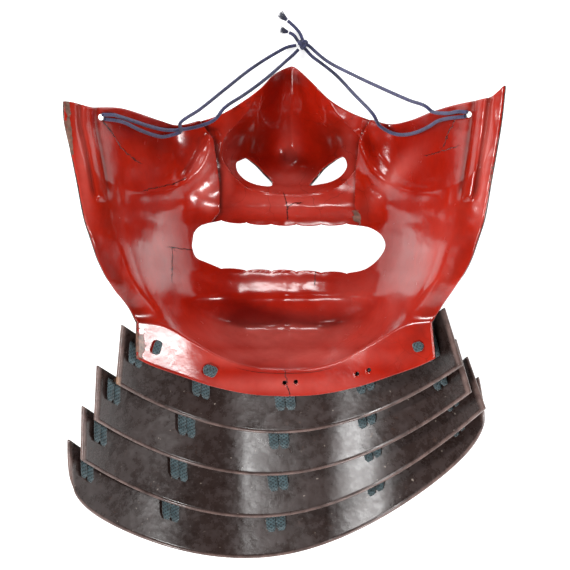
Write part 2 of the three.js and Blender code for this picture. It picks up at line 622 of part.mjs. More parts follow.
add('face_shell', faceShell(), RED_LACQUER);
add('nose_plate', nosePlate(), RED_LACQUER);
LAMES.forEach((lame, k) => {
  add(`throat_lame_${k + 1}`, throatLame(lame), DARK_LACQUER);
  const upper = k === 0 ? flangePoint : (a, b) => lamePoint(LAMES[k - 1], a, b);
  const upperThickness = k === 0 ? SHELL_THICKNESS : LAME_THICKNESS;
  LACE_PLACES.forEach((share, j) => {
    const upperRun = Math.abs(share) > LACE_END_PLACE ? [] : LACE_RUN_ABOVE;
    add(`lace_${k + 1}_${LACE_NAMES[j]}`, lacePair(upper, upperThickness, upperRun, lame, share), TEAL_LACE);
  });
});
for (const [side, sizes] of Object.entries(FLANGE_LACES)) {
  add(`flange_lace_${side}`, flangeLace(...sizes), TEAL_LACE);
}
for (const [name, stretch] of Object.entries(TIE_CORDS)) add(name, cord(stretch), NAVY_CORD);
for (const [name, sizes] of Object.entries(TUFTS)) add(name, tuft(sizes), NAVY_CORD);
add('tie_knot', knot(), NAVY_CORD);

export default group;
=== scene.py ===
"""A samurai face guard with its laced throat guard, lying face down with its red inside up.

The shell, the nose plate and the throat lames are surfaces worked out over two shares from 0 to 1,
in the guard's own millimetres; the laces and the tie cord are profiles carried along paths.
"""

import bpy
import numpy as np
from bpy.props import FloatProperty, FloatVectorProperty, IntProperty, PointerProperty
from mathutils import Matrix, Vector


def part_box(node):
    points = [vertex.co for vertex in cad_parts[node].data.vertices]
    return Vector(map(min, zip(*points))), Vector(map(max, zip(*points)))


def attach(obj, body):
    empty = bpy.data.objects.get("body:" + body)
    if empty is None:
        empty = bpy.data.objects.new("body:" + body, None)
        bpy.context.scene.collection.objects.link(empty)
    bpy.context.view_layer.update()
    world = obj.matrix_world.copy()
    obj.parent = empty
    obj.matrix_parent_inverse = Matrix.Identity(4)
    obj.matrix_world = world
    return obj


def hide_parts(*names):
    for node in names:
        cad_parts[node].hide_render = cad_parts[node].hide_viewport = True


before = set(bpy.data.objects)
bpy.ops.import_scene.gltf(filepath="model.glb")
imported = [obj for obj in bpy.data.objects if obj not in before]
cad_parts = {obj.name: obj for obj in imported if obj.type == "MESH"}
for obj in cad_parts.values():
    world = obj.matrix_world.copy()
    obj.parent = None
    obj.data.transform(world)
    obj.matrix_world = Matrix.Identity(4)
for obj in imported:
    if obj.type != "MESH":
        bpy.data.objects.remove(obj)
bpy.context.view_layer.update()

bl_info = {
    "name": "Face guard with throat lames",
    "version": (1, 0, 0),
    "blender": (4, 5, 0),
    "location": "View3D > Sidebar > Face guard",
    "description": "Builds a lacquered face guard, its laced lames and its tie cord over a frame",
    "category": "Object",
}

MM = 0.001
SHORTEST = 1e-9

# ------------------------------------------------------------------ the shell's numbers, in millimetres

SHELL_THICKNESS = 1.8
PLATE_THICKNESS = 1.6
PLATE_GAP = 1.3
SEAM_OVERLAP = 3.2
# Rows of a plate's rounded rim, and the least height of a plate's front above the floor
RIM_ROWS = 5
FRONT_ABOVE_FLOOR = 0.7
# Side edges of the shell: height y, left x, right x, depth z
SIDE_EDGE = np.array([
    [-4.0, -62.4, 61.8, 77.0], [3.2, -66.8, 66.5, 86.0], [10.0, -71.7, 70.8, 93.0],
    [20.8, -77.0, 76.5, 101.5], [31.0, -80.2, 79.8, 107.0], [40.0, -82.8, 82.3, 110.0],
    [55.0, -85.6, 84.8, 112.0], [69.0, -88.4, 87.3, 113.0], [81.0, -90.9, 89.2, 113.5],
    [94.0, -91.0, 90.6, 114.0],
])
SIDE_TOP_LEFT, SIDE_TOP_RIGHT = 87.5, 94.0
# Top edge from the left ear over the nose bridge to the right ear: x, y
TOP_EDGE = np.array([
    [-91.0, 87.5], [-87.2, 87.1], [-80.7, 85.6], [-69.3, 86.2], [-61.6, 84.7], [-53.7, 82.5],
    [-46.3, 80.7], [-38.2, 82.4], [-27.4, 86.1], [-17.5, 92.0], [-10.1, 97.6], [-4.4, 103.8],
    [2.6, 107.5], [5.3, 106.6], [11.0, 101.1], [18.8, 93.0], [28.3, 87.0], [39.1, 82.7],
    [45.5, 81.2], [53.9, 82.5], [62.0, 85.2], [69.7, 87.0], [81.2, 88.7], [86.0, 89.9], [90.6, 94.0],
])
# Turn of the chin bowl into the flange, and the flange's lower edge: distance from the middle, y, z
FLANGE_TOP = np.array([
    [0.0, -25.3, 50.0], [14.0, -24.2, 51.0], [27.0, -20.0, 55.0],
    [40.0, -12.4, 62.0], [51.4, -5.7, 70.0], [62.4, -4.0, 77.0],
])
FLANGE_BOTTOM = np.array([
    [0.0, -36.8, 43.0], [15.0, -35.8, 45.0], [31.0, -32.2, 52.0],
    [44.0, -27.6, 60.5], [56.5, -22.9, 69.0], [63.4, -19.4, 74.0],
])
FLANGE_BOTTOM_HALF_WIDTH, FLANGE_MIDDLE_X = 63.0, 0.4
# Climb of the section from the middle (0) to the ear (1): share of half-width, share of depth
CHEEK_CLIMB = np.array([
    [0.0, 0.0], [0.3, 0.03], [0.5, 0.14], [0.6, 0.28], [0.7, 0.52], [0.8, 0.76], [0.9, 0.91], [1.0, 1.0],
])
# Depth of the middle of the face without the nose: height y, z
MIDDLE_DEPTH = np.array([
    [-26.0, 13.0], [-16.0, 12.0], [-8.0, 12.0], [0.0, 19.0], [6.0, 23.0], [12.0, 20.5], [18.0, 16.5],
    [28.0, 17.0], [38.0, 18.5], [45.0, 24.0], [53.0, 25.5], [65.0, 29.0], [80.0, 33.0], [95.0, 36.0],
    [108.0, 38.0],
])
BOWL_TURN = 0.2
BOWL_TURN_POWER = 1.8
# The nose: height y, half-width, depth of the wings, further depth of the ridge, ridge half-width
NOSE_SECTIONS = np.array([
    [50.0, 12.0, 0.0, 0.0, 9.0], [55.0, 19.0, 2.0, 1.5, 10.0], [60.0, 23.5, 9.0, 6.5, 12.0],
    [66.0, 27.0, 13.5, 12.5, 14.0], [70.0, 27.6, 15.0, 13.0, 15.0], [76.0, 27.0, 14.0, 13.0, 14.0],
    [82.0, 22.5, 9.0, 14.0, 13.0], [88.0, 18.0, 4.0, 14.5, 12.0], [96.0, 15.0, 2.0, 13.0, 11.0],
    [108.0, 12.0, 1.0, 11.0, 10.0],
])
NOSE_AXIS_X = 3.0
CHEEK_CENTRE_X, CHEEK_CENTRE_Y = 60.0, 77.0
CHEEK_RADIUS_X, CHEEK_RADIUS_Y = 27.0, 25.5
CHEEK_HOLLOW_DEPTH, CHEEK_RIDGE_HEIGHT, CHEEK_RIDGE_WIDTH = 5.0, 3.6, 0.13
BEAD_AT, BEAD_HALF_WIDTH, BEAD_HEIGHT, BEAD_BOTTOM = 0.905, 0.026, 1.9, 46.0
JAW_STEP_AT, JAW_STEP_WIDTH, JAW_STEP_HEIGHT, JAW_STEP_TOP = 0.86, 0.035, 1.1, 56.0
# Seams between the nose plate and the cheeks, from the top down: x, y
LEFT_SEAM = [(-40.5, 88.0), (-35.8, 81.0), (-31.5, 75.0), (-30.2, 66.2), (-28.9, 55.3), (-28.9, 43.5),
             (-33.0, 38.6)]
RIGHT_SEAM = [(39.5, 87.0), (35.3, 80.0), (32.3, 74.0), (31.2, 64.0), (31.0, 57.5), (30.7, 46.5),
              (33.0, 38.0)]
# Mouth outline anticlockwise from its left corner, and the nostrils: x, y
MOUTH = [
    (-40.8, 29.0), (-38.9, 23.6), (-34.5, 21.4), (-29.6, 19.6), (-19.9, 18.6), (0.0, 18.3), (22.0, 17.5),
    (33.2, 17.8), (39.8, 21.8), (43.8, 28.4), (42.5, 33.0), (38.5, 36.2), (32.3, 37.9), (15.0, 37.8),
    (-6.0, 38.0), (-20.0, 38.8), (-31.0, 39.4), (-37.6, 37.3), (-40.3, 33.6),
]
TOOTH_PITCH, TOOTH_NOTCH, TOOTH_SHIFT, TOOTH_POWER = 11.0, 1.1, 6.0, 0.35
TEETH_MIDDLE_X, TEETH_REACH, MOUTH_MARGIN = 1.5, 36.0, 0.1
LEFT_NOSTRIL = [
    (-21.3, 66.2), (-21.2, 62.2), (-18.8, 59.0), (-15.5, 56.9), (-10.0, 55.4), (-5.6, 55.6), (-5.1, 57.6),
    (-8.4, 61.4), (-12.9, 65.8), (-17.8, 68.2),
]
RIGHT_NOSTRIL = [
    (10.2, 56.0), (16.0, 56.2), (21.3, 57.6), (25.3, 60.3), (27.4, 64.4), (25.6, 68.4), (20.0, 66.2),
    (15.5, 62.7),
]
# Small round holes: x, y, radius
CHEEK_HOLES = [(-76.6, 82.0, 1.7), (76.5, 83.1, 1.7)]
FLANGE_HOLES = [(-0.2, -31.0, 1.3), (4.7, -30.6, 1.3), (31.0, -26.9, 1.3), (36.0, -25.2, 1.3)]

# ------------------------------------------------------------------ the lames, laces and tie cord

LAME_THICKNESS = 1.5
LAME_FLAT, LAME_SPAN = 17.0, 60.0
# The raised rim: rough height of a lame, lean of its ends, width and fade of the rim, bulge of its edge
LAME_HEIGHT, END_LEAN, LAME_RIM_WIDTH, LAME_RIM_FADE, LAME_BULGE = 24.0, 0.9, 0.5, 0.8, 0.35
# How far a lame's columns crowd towards its ends, and its rows towards its rim
END_CROWDING, RIM_CROWDING = 0.3, 0.6
# Middle of the bottom and top edge (x, y, z), half-widths, rises and climb of the ends, slope
LAMES = [
    ((1.7, -53.2, 31.0), (-0.6, -31.5, 41.0), (73.0, 68.4), (26.4, 27.5), 45.5, 0.053),
    ((-0.9, -72.2, 20.0), (-3.4, -48.5, 27.8), (79.9, 76.0), (31.8, 30.9), 40.5, 0.073),
    ((-0.7, -90.9, 9.5), (-4.1, -67.5, 16.5), (86.2, 82.1), (38.2, 37.3), 36.5, 0.127),
    ((-2.7, -109.3, 0.3), (-4.7, -86.0, 5.9), (91.0, 88.0), (42.0, 44.0), 32.0, 0.151),
]
LACE_NAMES = ("far_left", "left", "middle", "right", "far_right")
LACE_PLACES = (-0.93, -0.53, 0.0, 0.5, 0.9)
LACE_WIDTH, LACE_THICKNESS, LACE_STAND = 9.2, 1.8, 0.55
LACE_SHOWN, LAP, LACE_HIDDEN, LAP_GROWTH = 7.5, 4.7, 2.2, 3.0
LACE_RUN_ABOVE = (10.0, 7.5, 5.2)
# The first lame reaches up by this share of its height, so that the flange's bare holes look onto it
HIDDEN_REACH = 1.08
LACE_END_PLACE = 0.8
CORNER_RISE, CORNER_DRAW, CORNER_POWER = 5.0, 2.0, 16
# Points of a path between two chosen ones, then the step and the sides of a cord and of a lace
PATH_STEPS = 24
CORD_STEP, CORD_SIDES = 0.22, 14
LACE_STEP, LACE_SIDES = 0.16, 24
BRAID_STRANDS, BRAID_PITCH, BRAID_DEPTH = 8, 1.1, 0.12
# Laces that show on the flange: share of its width, share of its height, half-width, half-height
FLANGE_LACES = {
    "far_left": (0.06, 0.45, 2.1, 3.4), "left": (0.24, 0.45, 3.6, 2.6), "far_right": (0.955, 0.45, 2.7, 2.2),
}
# The tie cord: on the face x, y and height above it; free x, y, z above the floor
TIE_CORDS = {
    "tie_cord_left_over": (
        [(-76.2, 81.2, 0.6), (-72.8, 80.9, 2.1), (-69.4, 80.2, 2.0), (-63.6, 77.7, 2.0), (-57.7, 76.1, 2.0),
         (-54.5, 75.9, 2.0), (-51.4, 76.9, 2.4), (-48.4, 78.8, 4.2)],
        [(-45.2, 81.6, 54.0), (-37.0, 88.0, 44.0), (-26.3, 97.6, 29.0), (-15.4, 107.2, 14.5),
         (-4.8, 114.7, 4.2), (1.0, 117.9, 1.5), (5.0, 118.8, 1.2)]),
    "tie_cord_left_under": (
        [(-77.0, 83.0, 0.6), (-74.0, 83.2, 2.1), (-71.2, 82.6, 2.0), (-65.5, 81.2, 2.0), (-59.6, 79.8, 2.0),
         (-53.6, 79.0, 2.0), (-47.5, 79.4, 2.0), (-41.2, 80.5, 2.0), (-36.0, 82.0, 2.2), (-31.4, 84.4, 2.8)],
        [(-26.6, 88.5, 42.0), (-17.7, 95.2, 31.0), (-9.0, 102.4, 18.5), (-0.3, 110.7, 6.2),
         (4.0, 114.8, 2.2), (6.0, 116.9, 1.4)]),
    "tie_cord_right_over": (
        [(76.9, 84.0, 0.6), (74.4, 84.3, 2.1), (71.6, 84.0, 2.0), (68.4, 84.2, 2.2), (65.0, 85.3, 2.6)],
        [(59.7, 87.7, 77.0), (53.5, 90.6, 67.0), (43.2, 96.3, 49.5), (30.5, 103.7, 28.0),
         (18.9, 111.0, 10.5), (13.4, 116.0, 3.0), (10.9, 118.4, 1.6), (8.3, 120.0, 1.6),
         (7.5, 122.3, 1.3), (6.5, 124.4, 1.0), (4.7, 126.6, 1.0), (2.6, 128.6, 1.0), (1.2, 129.8, 1.0)]),
    "tie_cord_right_under": (
        [(76.1, 82.2, 0.6), (73.6, 81.9, 2.1), (70.4, 81.8, 2.0), (66.5, 81.0, 2.0), (63.0, 79.0, 2.0),
         (57.8, 77.1, 2.0), (53.0, 76.7, 2.0), (48.8, 77.5, 2.0), (45.5, 79.2, 2.4), (42.5, 81.6, 3.0)],
        [(38.6, 85.2, 46.5), (30.6, 95.1, 29.5), (22.4, 105.0, 13.0), (16.6, 110.2, 5.5),
         (12.0, 113.9, 2.0), (9.6, 116.5, 1.5), (7.2, 119.2, 1.6), (5.5, 121.1, 1.3),
         (4.4, 122.8, 1.0), (3.1, 123.9, 1.0), (1.8, 124.5, 1.0)]),
}
# Nodes of the frame that each cord stands for, and what it ends in
CORD_NODES = {
    "tie_cord_left_over": (("tie_cord_left_over",), "knot"),
    "tie_cord_left_under": (("tie_cord_left_under",), "knot"),
    "tie_cord_right_over": (("tie_cord_right_over", "tie_end_long"), "bare"),
    "tie_cord_right_under": (("tie_cord_right_under", "tie_end_short"), "bare"),
}
KNOT_X, KNOT_Y, KNOT_RADIUS, KNOT_FLATNESS = 8.0, 119.2, 2.6, 0.8
# Rings and sides of the knot's cord, and the braid's pitches along it
KNOT_RINGS, KNOT_SIDES, KNOT_PITCHES = 240, 12, 22
FIBRE_RADIUS = 0.11
# Tufts at the cord's two ends: from x, y, z to x, y, z above the floor, radius
TUFTS = {
    "tie_tuft_long": ((0.9, 130.1, 1.15), (-2.9, 133.2, 1.15), 2.3),
    "tie_tuft_short": ((1.4, 124.7, 1.15), (-2.4, 125.9, 1.15), 2.0),
}

# The guard's own numbers are set into the frame by its knot, its highest edge and its floor
KNOT_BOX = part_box("tie_knot")
SHIFT = np.array([
    (KNOT_BOX[0].x + KNOT_BOX[1].x) / 2 / MM - KNOT_X,
    (KNOT_BOX[0].y + KNOT_BOX[1].y) / 2 / MM - KNOT_Y,
    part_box("face_shell")[1].z / MM - SIDE_EDGE[-1, 3],
])
FLOOR = -SHIFT[2]

# ------------------------------------------------------------------ curves and surfaces


def smooth(table, at, column=1):
    """Value of a smooth curve through a table's rows: between two rows a cubic whose slopes are
    those of the straight lines between each row's two neighbours."""
    x = np.clip(at, table[0, 0], table[-1, 0])
    i = np.clip(np.searchsorted(table[:, 0], x, side="right") - 1, 0, len(table) - 2)
    rows = np.arange(len(table))
    before, after = np.maximum(rows - 1, 0), np.minimum(rows + 1, len(table) - 1)
    slope = (table[after, column] - table[before, column]) / (table[after, 0] - table[before, 0])
    h = table[i + 1, 0] - table[i, 0]
    t = (x - table[i, 0]) / h
    rest = 1 - t
    return ((1 + 2 * t) * rest ** 2 * table[i, column] + t * rest ** 2 * h * slope[i]
            + t ** 2 * (3 - 2 * t) * table[i + 1, column] - t ** 2 * rest * h * slope[i + 1])


def mix(a, b, t):
    """The value a share t of the way from a to b."""
    return a + (b - a) * t


def ease(t):
    """A soft step from 0 to 1 as t goes from 0 to 1."""
    c = np.clip(t, 0, 1)
    return c * c * (3 - 2 * c)


def bell(d, width):
    """A bell curve of height 1 that falls to a third at the distance width."""
    return np.exp(-(d / width) ** 2)


def unit(v):
    """Vectors cut to length 1."""
    return v / np.maximum(np.linalg.norm(v, axis=-1, keepdims=True), 1e-12)


def stack(x, y, z):
    """Three arrays as one array of points."""
    return np.stack(np.broadcast_arrays(x, y, z), axis=-1).astype(float)


def nose_depth(x, y):
    """Depth that the nose takes out of the face: broad wings that fall off with the fourth power of
    the distance from the axis, and a ridge whose sides run out softly into them."""
    across = np.abs(x - NOSE_AXIS_X)
    half, wings, ridge, ridge_half = (smooth(NOSE_SECTIONS, y, k) for k in (1, 2, 3, 4))
    wing_shape = np.maximum(0, 1 - (across / half / 1.05) ** 4) ** 1.3
    ridge_shape = np.maximum(0, 1 - (across / ridge_half / 1.2) ** 2) ** 2
    return ease((y - 50) / 5) * (np.maximum(wings, 0) * wing_shape + np.maximum(ridge, 0) * ridge_shape)


def cheek_relief(x, y):
    """A hollow inside an ellipse, and a ridge along the ellipse's lower inner quarter."""
    dx = (CHEEK_CENTRE_X - np.abs(x)) / CHEEK_RADIUS_X
    dy = (y - CHEEK_CENTRE_Y) / CHEEK_RADIUS_Y
    r = np.hypot(dx, dy)
    hollow = -CHEEK_HOLLOW_DEPTH * np.maximum(0, 1 - r * r)
    reach = ease((0.15 - dy) / 0.35) * ease((dx + 0.35) / 0.5)
    return hollow + CHEEK_RIDGE_HEIGHT * bell(r - 1.02, CHEEK_RIDGE_WIDTH) * reach


def side_relief(share, y):
    """The half-round bead beside the ear above, and the step along the jaw below."""
    on_bead = np.maximum(0, 1 - ((share - BEAD_AT) / BEAD_HALF_WIDTH) ** 2)
    bead = BEAD_HEIGHT * np.sqrt(on_bead) * ease((y - BEAD_BOTTOM) / 2.5)
    step = JAW_STEP_HEIGHT * bell(share - JAW_STEP_AT, JAW_STEP_WIDTH) * ease((JAW_STEP_TOP - y) / 12)
    return bead + step


# The part of the face that the nose plate is cut from: from share, to share, places
NOSE_PLATE_ACROSS, NOSE_PLATE_UP = (0.24, 0.76, 190), (0.4, 1.0, 170)
# Creases and ridges of the cheeks: line of x, y, then height and width
CREASES = [
    ([(-32.9, 74.8), (-36.8, 70.1), (-42.0, 60.1)], 1.1, 1.3),
    ([(-31.5, 62.0), (-33.0, 56.0), (-38.0, 51.0)], 0.9, 3.5),
    ([(33.3, 74.4), (38.0, 66.5), (44.6, 59.2), (52.0, 54.0)], 1.5, 2.6),
    ([(33.3, 57.9), (36.0, 53.0), (40.3, 49.3)], 1.2, 2.2),
    ([(-15.6, 83.5), (-21.5, 79.0), (-24.5, 73.0), (-24.8, 67.0)], 0.9, 1.8),
    ([(15.5, 82.0), (25.0, 78.0), (28.0, 72.5), (28.6, 67.0)], 0.9, 1.8),
]


def from_stretches(a, d, x, y):
    """Offsets in x and in y of places from the starts a of straight stretches d, and the distances
    of the places from the stretches."""
    px, py = x[..., None] - a[:, 0], y[..., None] - a[:, 1]
    t = np.clip((px * d[:, 0] + py * d[:, 1]) / np.maximum((d ** 2).sum(1), SHORTEST), 0, 1)
    return px, py, np.hypot(px - t * d[:, 0], py - t * d[:, 1])


def distance_to_line(line, x, y):
    """Distance of places from an open line of straight stretches."""
    line = np.array(line, float)
    return from_stretches(line[:-1], np.diff(line, axis=0), x, y)[2].min(-1)


# Grooves beside the ear bead, and below it along the jaw: share of the half-width, width, depth
BEAD_GROOVES = [(0.942, 0.011, 1.1), (0.868, 0.014, 0.7)]
JAW_GROOVE_AT, JAW_GROOVE_WIDTH, JAW_GROOVE_DEPTH, JAW_GROOVE_TOP = 0.815, 0.01, 0.5, 60.0
# Hollows beside the nose's ridge: x, and the radii, height and depth that they share
NOSE_PITS = (-16.0, 21.5)
PIT_WIDTH, PIT_Y, PIT_HEIGHT, PIT_DEPTH = 5.5, 78.0, 6.5, 2.2


def fine_relief(x, y, share):
    """Low relief too fine for the solids: the groove outside the bead and the one inside it, sharp
    lines of the nose, and uneven hand work."""
    above = ease((y - BEAD_BOTTOM) / 6)
    groove = -above * sum(depth * bell(share - at, width) for at, width, depth in BEAD_GROOVES)
    below = ease((JAW_GROOVE_TOP - y) / 12)
    low = -JAW_GROOVE_DEPTH * bell(share - JAW_GROOVE_AT, JAW_GROOVE_WIDTH) * below
    ridge = -0.7 * bell(x - NOSE_AXIS_X, 0.9) * ease((y - 64) / 8)
    lip = 0.5 * bell(y - 52.5, 1.0) * ease((16 - np.abs(x - NOSE_AXIS_X)) / 6)
    pits = -PIT_DEPTH * sum(bell(x - at, PIT_WIDTH) for at in NOSE_PITS) * bell(y - PIT_Y, PIT_HEIGHT)
    uneven = (0.12 * np.sin(x * 0.31 + 1.3 * np.sin(y * 0.17)) * np.sin(y * 0.27 + 0.9 * np.sin(x * 0.21))
              + 0.07 * np.sin(x * 0.73 + y * 0.41) * np.sin(y * 0.67 - x * 0.23))
    creases = sum(height * bell(distance_to_line(line, x, y), width) for line, height, width in CREASES)
    return groove + low + ridge + lip + pits + uneven + creases


def face_point(s, v, relief=True):
    """Inner surface of the chin bowl and face at shares s (left to right) and v (flange to top edge).
    The depth is mixed from the middle's to the side's by the cheek's climb, less the nose."""
    s, v = np.broadcast_arrays(np.asarray(s, float), np.asarray(v, float))
    across = np.abs(2 * s - 1)
    at_bottom = across * FLANGE_TOP[-1, 0]
    y_top = smooth(TOP_EDGE, mix(SIDE_EDGE[-1, 1], SIDE_EDGE[-1, 2], s))
    y = mix(smooth(FLANGE_TOP, at_bottom, 1), y_top, v)
    side_y = mix(FLANGE_TOP[-1, 1], mix(SIDE_TOP_LEFT, SIDE_TOP_RIGHT, s), v)
    x = mix(smooth(SIDE_EDGE, side_y, 1), smooth(SIDE_EDGE, side_y, 2), s)
    z = mix(smooth(MIDDLE_DEPTH, y), smooth(SIDE_EDGE, side_y, 3), smooth(CHEEK_CLIMB, across))
    turn = np.maximum(0, 1 - v / BOWL_TURN) ** BOWL_TURN_POWER
    raised = cheek_relief(x, y) + side_relief(across, y) + fine_relief(x, y, across) if relief else 0
    z = z + (1 - turn) * (raised - nose_depth(x, y))
    return stack(x, y, mix(z, smooth(FLANGE_TOP, at_bottom, 2), turn))


def flange_point(s, v):
    """Inner surface of the flange at shares s (left to right) and v (lower edge to chin bowl)."""
    s, v = np.broadcast_arrays(np.asarray(s, float), np.asarray(v, float))
    across = 2 * s - 1
    low = np.abs(across) * FLANGE_BOTTOM_HALF_WIDTH
    lower = stack(across * FLANGE_BOTTOM_HALF_WIDTH + FLANGE_MIDDLE_X, smooth(FLANGE_BOTTOM, low, 1),
                  smooth(FLANGE_BOTTOM, low, 2))
    return mix(lower, face_point(s, np.zeros_like(s)), v[..., None])


def shell_point(s, b, relief=True):
    """The flange for b from -1 to 0, then the face for b from 0 to 1."""
    s, b = np.broadcast_arrays(np.asarray(s, float), np.asarray(b, float))
    s = np.clip(s, 0, 1)
    on_face = face_point(s, np.clip(b, 0, 1), relief)
    return np.where((b < 0)[..., None], flange_point(s, np.clip(1 + b, 0, 1)), on_face)


def bare_shell(s, b):
    """The shell without its relief, which gives the direction of its thickness."""
    return shell_point(s, b, False)


def backwards(point, a, b, lowest=0.0, e=0.004):
    """Unit direction out of the back of a surface, from its own slopes."""
    along = point(np.minimum(a + e, 1), b) - point(np.maximum(a - e, 0), b)
    up = point(a, np.minimum(b + e, 1)) - point(a, np.maximum(b - e, lowest))
    return unit(np.cross(up, along))


def shell_back(s, b):
    """Direction out of the back of the shell."""
    return backwards(bare_shell, s, b, lowest=-1.0)


def plate_back(s, b):
    """Direction out of the back of the nose plate, which turns straight down at the top edge."""
    down = ease((b - 0.82) / 0.18)[..., None]
    return unit(mix(shell_back(s, b), np.array((0.0, 0.0, -1.0)), down))


def plate_point(s, b):
    """The nose plate lies behind the shell by the shell's thickness and a gap."""
    return shell_point(s, b) + plate_back(s, b) * (SHELL_THICKNESS + PLATE_GAP)


# Rough size of the face, and the steps taken towards a place on it
FACE_WIDTH, FACE_HEIGHT, SEARCH_STEPS, LACE_SEARCH_STEPS = 180.0, 115.0, 14, 12


def locate(x, y):
    """Shares (s, v) of the face whose point lies at x, y, found by walking there."""
    s, v = np.full(np.shape(x), 0.5), np.full(np.shape(x), 0.5)
    for _ in range(SEARCH_STEPS):
        p = face_point(s, v, False)
        s = np.clip(s + (x - p[..., 0]) / FACE_WIDTH, 0, 1)
        v = np.clip(v + (y - p[..., 1]) / FACE_HEIGHT, 0, 1)
    return s, v


def above_face(rows):
    """Places at x, y and a given height above the face's inner surface."""
    x, y, height = np.array(rows, float).T
    s, v = locate(x, y)
    return stack(x, y, face_point(s, v)[:, 2]) - shell_back(s, v) * height[:, None]


def lame_point(lame, a, b):
    """A lame's inner face at shares a (left to right) and b (bottom to top edge). Its edges are
    parabolas in the plan, and its ends climb with the square of the distance from the middle."""
    bottom, top, half_widths, rise, climb, slope = lame
    a, b = np.broadcast_arrays(np.asarray(a, float), np.asarray(b, float))
    side = 2 * a - 1
    half = mix(half_widths[0], half_widths[1], b)
    rounding = (1 - b) ** 2 * np.abs(side) ** CORNER_POWER if lame is LAMES[-1] else 0
    x = mix(bottom[0], top[0], b) + side * (half - CORNER_DRAW * rounding)
    y = (mix(bottom[1] + rise[0] * side ** 2, top[1] + rise[1] * side ** 2, b) + slope * side * half
         + CORNER_RISE * rounding)
    across = np.maximum(0, np.abs(x) - LAME_FLAT) / LAME_SPAN
    return stack(x, y, mix(bottom[2], top[2], b) + climb * across ** 2)


def curve(points, steps):
    """A smooth path through points, with the square root of each stretch as its share of the time:
    between two points a cubic whose slopes come from the stretches on both sides."""
    p = np.array(points, float)
    p = np.concatenate([[2 * p[0] - p[1]], p, [2 * p[-1] - p[-2]]])
    d = np.sqrt(np.linalg.norm(np.diff(p, axis=0), axis=1))[:, None]
    p0, p1, p2, p3, d0, d1, d2 = p[:-3], p[1:-2], p[2:-1], p[3:], d[:-2], d[1:-1], d[2:]
    m1 = ((p1 - p0) / d0 - (p2 - p0) / (d0 + d1) + (p2 - p1) / d1) * d1
    m2 = ((p2 - p1) / d1 - (p3 - p1) / (d1 + d2) + (p3 - p2) / d2) * d1
    t = np.linspace(0, 1, steps, endpoint=False)[:, None, None]
    path = ((2 * t ** 3 - 3 * t ** 2 + 1) * p1 + (t ** 3 - 2 * t ** 2 + t) * m1
            + (3 * t ** 2 - 2 * t ** 3) * p2 + (t ** 3 - t ** 2) * m2)
    return np.concatenate([path.transpose(1, 0, 2).reshape(-1, 3), p[-2:-1]])


def lengths_along(path):
    """Distance travelled along a path at each of its points."""
    return np.concatenate([[0], np.cumsum(np.linalg.norm(np.diff(path, axis=0), axis=1))])


def even(path, step):
    """The same path with its points an even step apart."""
    along = lengths_along(path)
    at = np.linspace(0, along[-1], max(3, int(np.ceil(along[-1] / step)) + 1))
    return np.stack([np.interp(at, along, path[:, k]) for k in range(3)], axis=1)


# ------------------------------------------------------------------ meshes


def piece(name, points, faces, finish, nodes, values=None, uv=None):
    """A finished piece from points in the guard's millimetres and lists of faces. It rides on the
    frame's one body and stands for the frame's nodes."""
    mesh = bpy.data.meshes.new(name)
    corners = np.concatenate([f.ravel() for f in faces]).astype(np.int32)
    sizes = np.concatenate([np.full(len(f), f.shape[1]) for f in faces])
    mesh.vertices.add(len(points))
    mesh.vertices.foreach_set("co", ((points + SHIFT) * MM).astype(np.float32).ravel())
    mesh.loops.add(len(corners))
    mesh.loops.foreach_set("vertex_index", corners)
    mesh.polygons.add(len(sizes))
    mesh.polygons.foreach_set("loop_start", (np.cumsum(sizes) - sizes).astype(np.int32))
    mesh.update(calc_edges=True)
    for label, value in (values or {}).items():
        mesh.attributes.new(label, "FLOAT", "POINT").data.foreach_set("value", value.astype(np.float32))
    if uv is not None:
        mesh.uv_layers.new(name="UVMap").data.foreach_set("uv", uv.astype(np.float32).ravel())
    mesh.shade_smooth()
    mesh.materials.append(finish)
    made = bpy.data.objects.new(name, mesh)
    bpy.context.scene.collection.objects.link(made)
    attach(made, "root")
    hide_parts(*nodes)
    return made


def outline(points, steps=8):
    """A closed outline smoothed through its points."""
    p = np.array([points[-2], points[-1], *points, points[0], points[1]], float)
    path = curve(np.column_stack([p, np.zeros(len(p))]), steps)
    return path[2 * steps:-2 * steps - 1, :2]


def distance_to(line, x, y):
    """Distance of places from a closed line of straight stretches, negative inside it, where a ray
    from the place crosses the line an odd number of times."""
    a = np.asarray(line, float)
    b = np.roll(a, -1, axis=0)
    d = b - a
    far = from_stretches(a, d, x, y)[2].min(1)
    straddles = (a[:, 1] > y[:, None]) != (b[:, 1] > y[:, None])
    with np.errstate(divide="ignore", invalid="ignore"):
        crossing = a[:, 0] + (y[:, None] - a[:, 1]) * d[:, 0] / d[:, 1]
    inside = (straddles & (x[:, None] < crossing)).sum(1) % 2 == 1
    return np.where(inside, -far, far)


def outside_of(shape, margin=4.0):
    """A field that is positive outside a closed outline and negative inside it. Further from the
    outline's own box than the margin it stays at the margin."""
    shape = np.asarray(shape, float)
    low, high = shape.min(0) - margin, shape.max(0) + margin

    def field(x, y):
        value = np.full(len(x), margin)
        near = (x > low[0]) & (x < high[0]) & (y > low[1]) & (y < high[1])
        value[near] = distance_to(shape, x[near], y[near])
        return value
    return field


def inside_of(shape):
    """A field that is positive inside a closed outline and negative outside it."""
    field = outside_of(shape)
    return lambda x, y: -field(x, y)


def hole(x, y, radius):
    """A field that is positive outside a round hole."""
    return lambda px, py: np.hypot(px - x, py - y) - radius


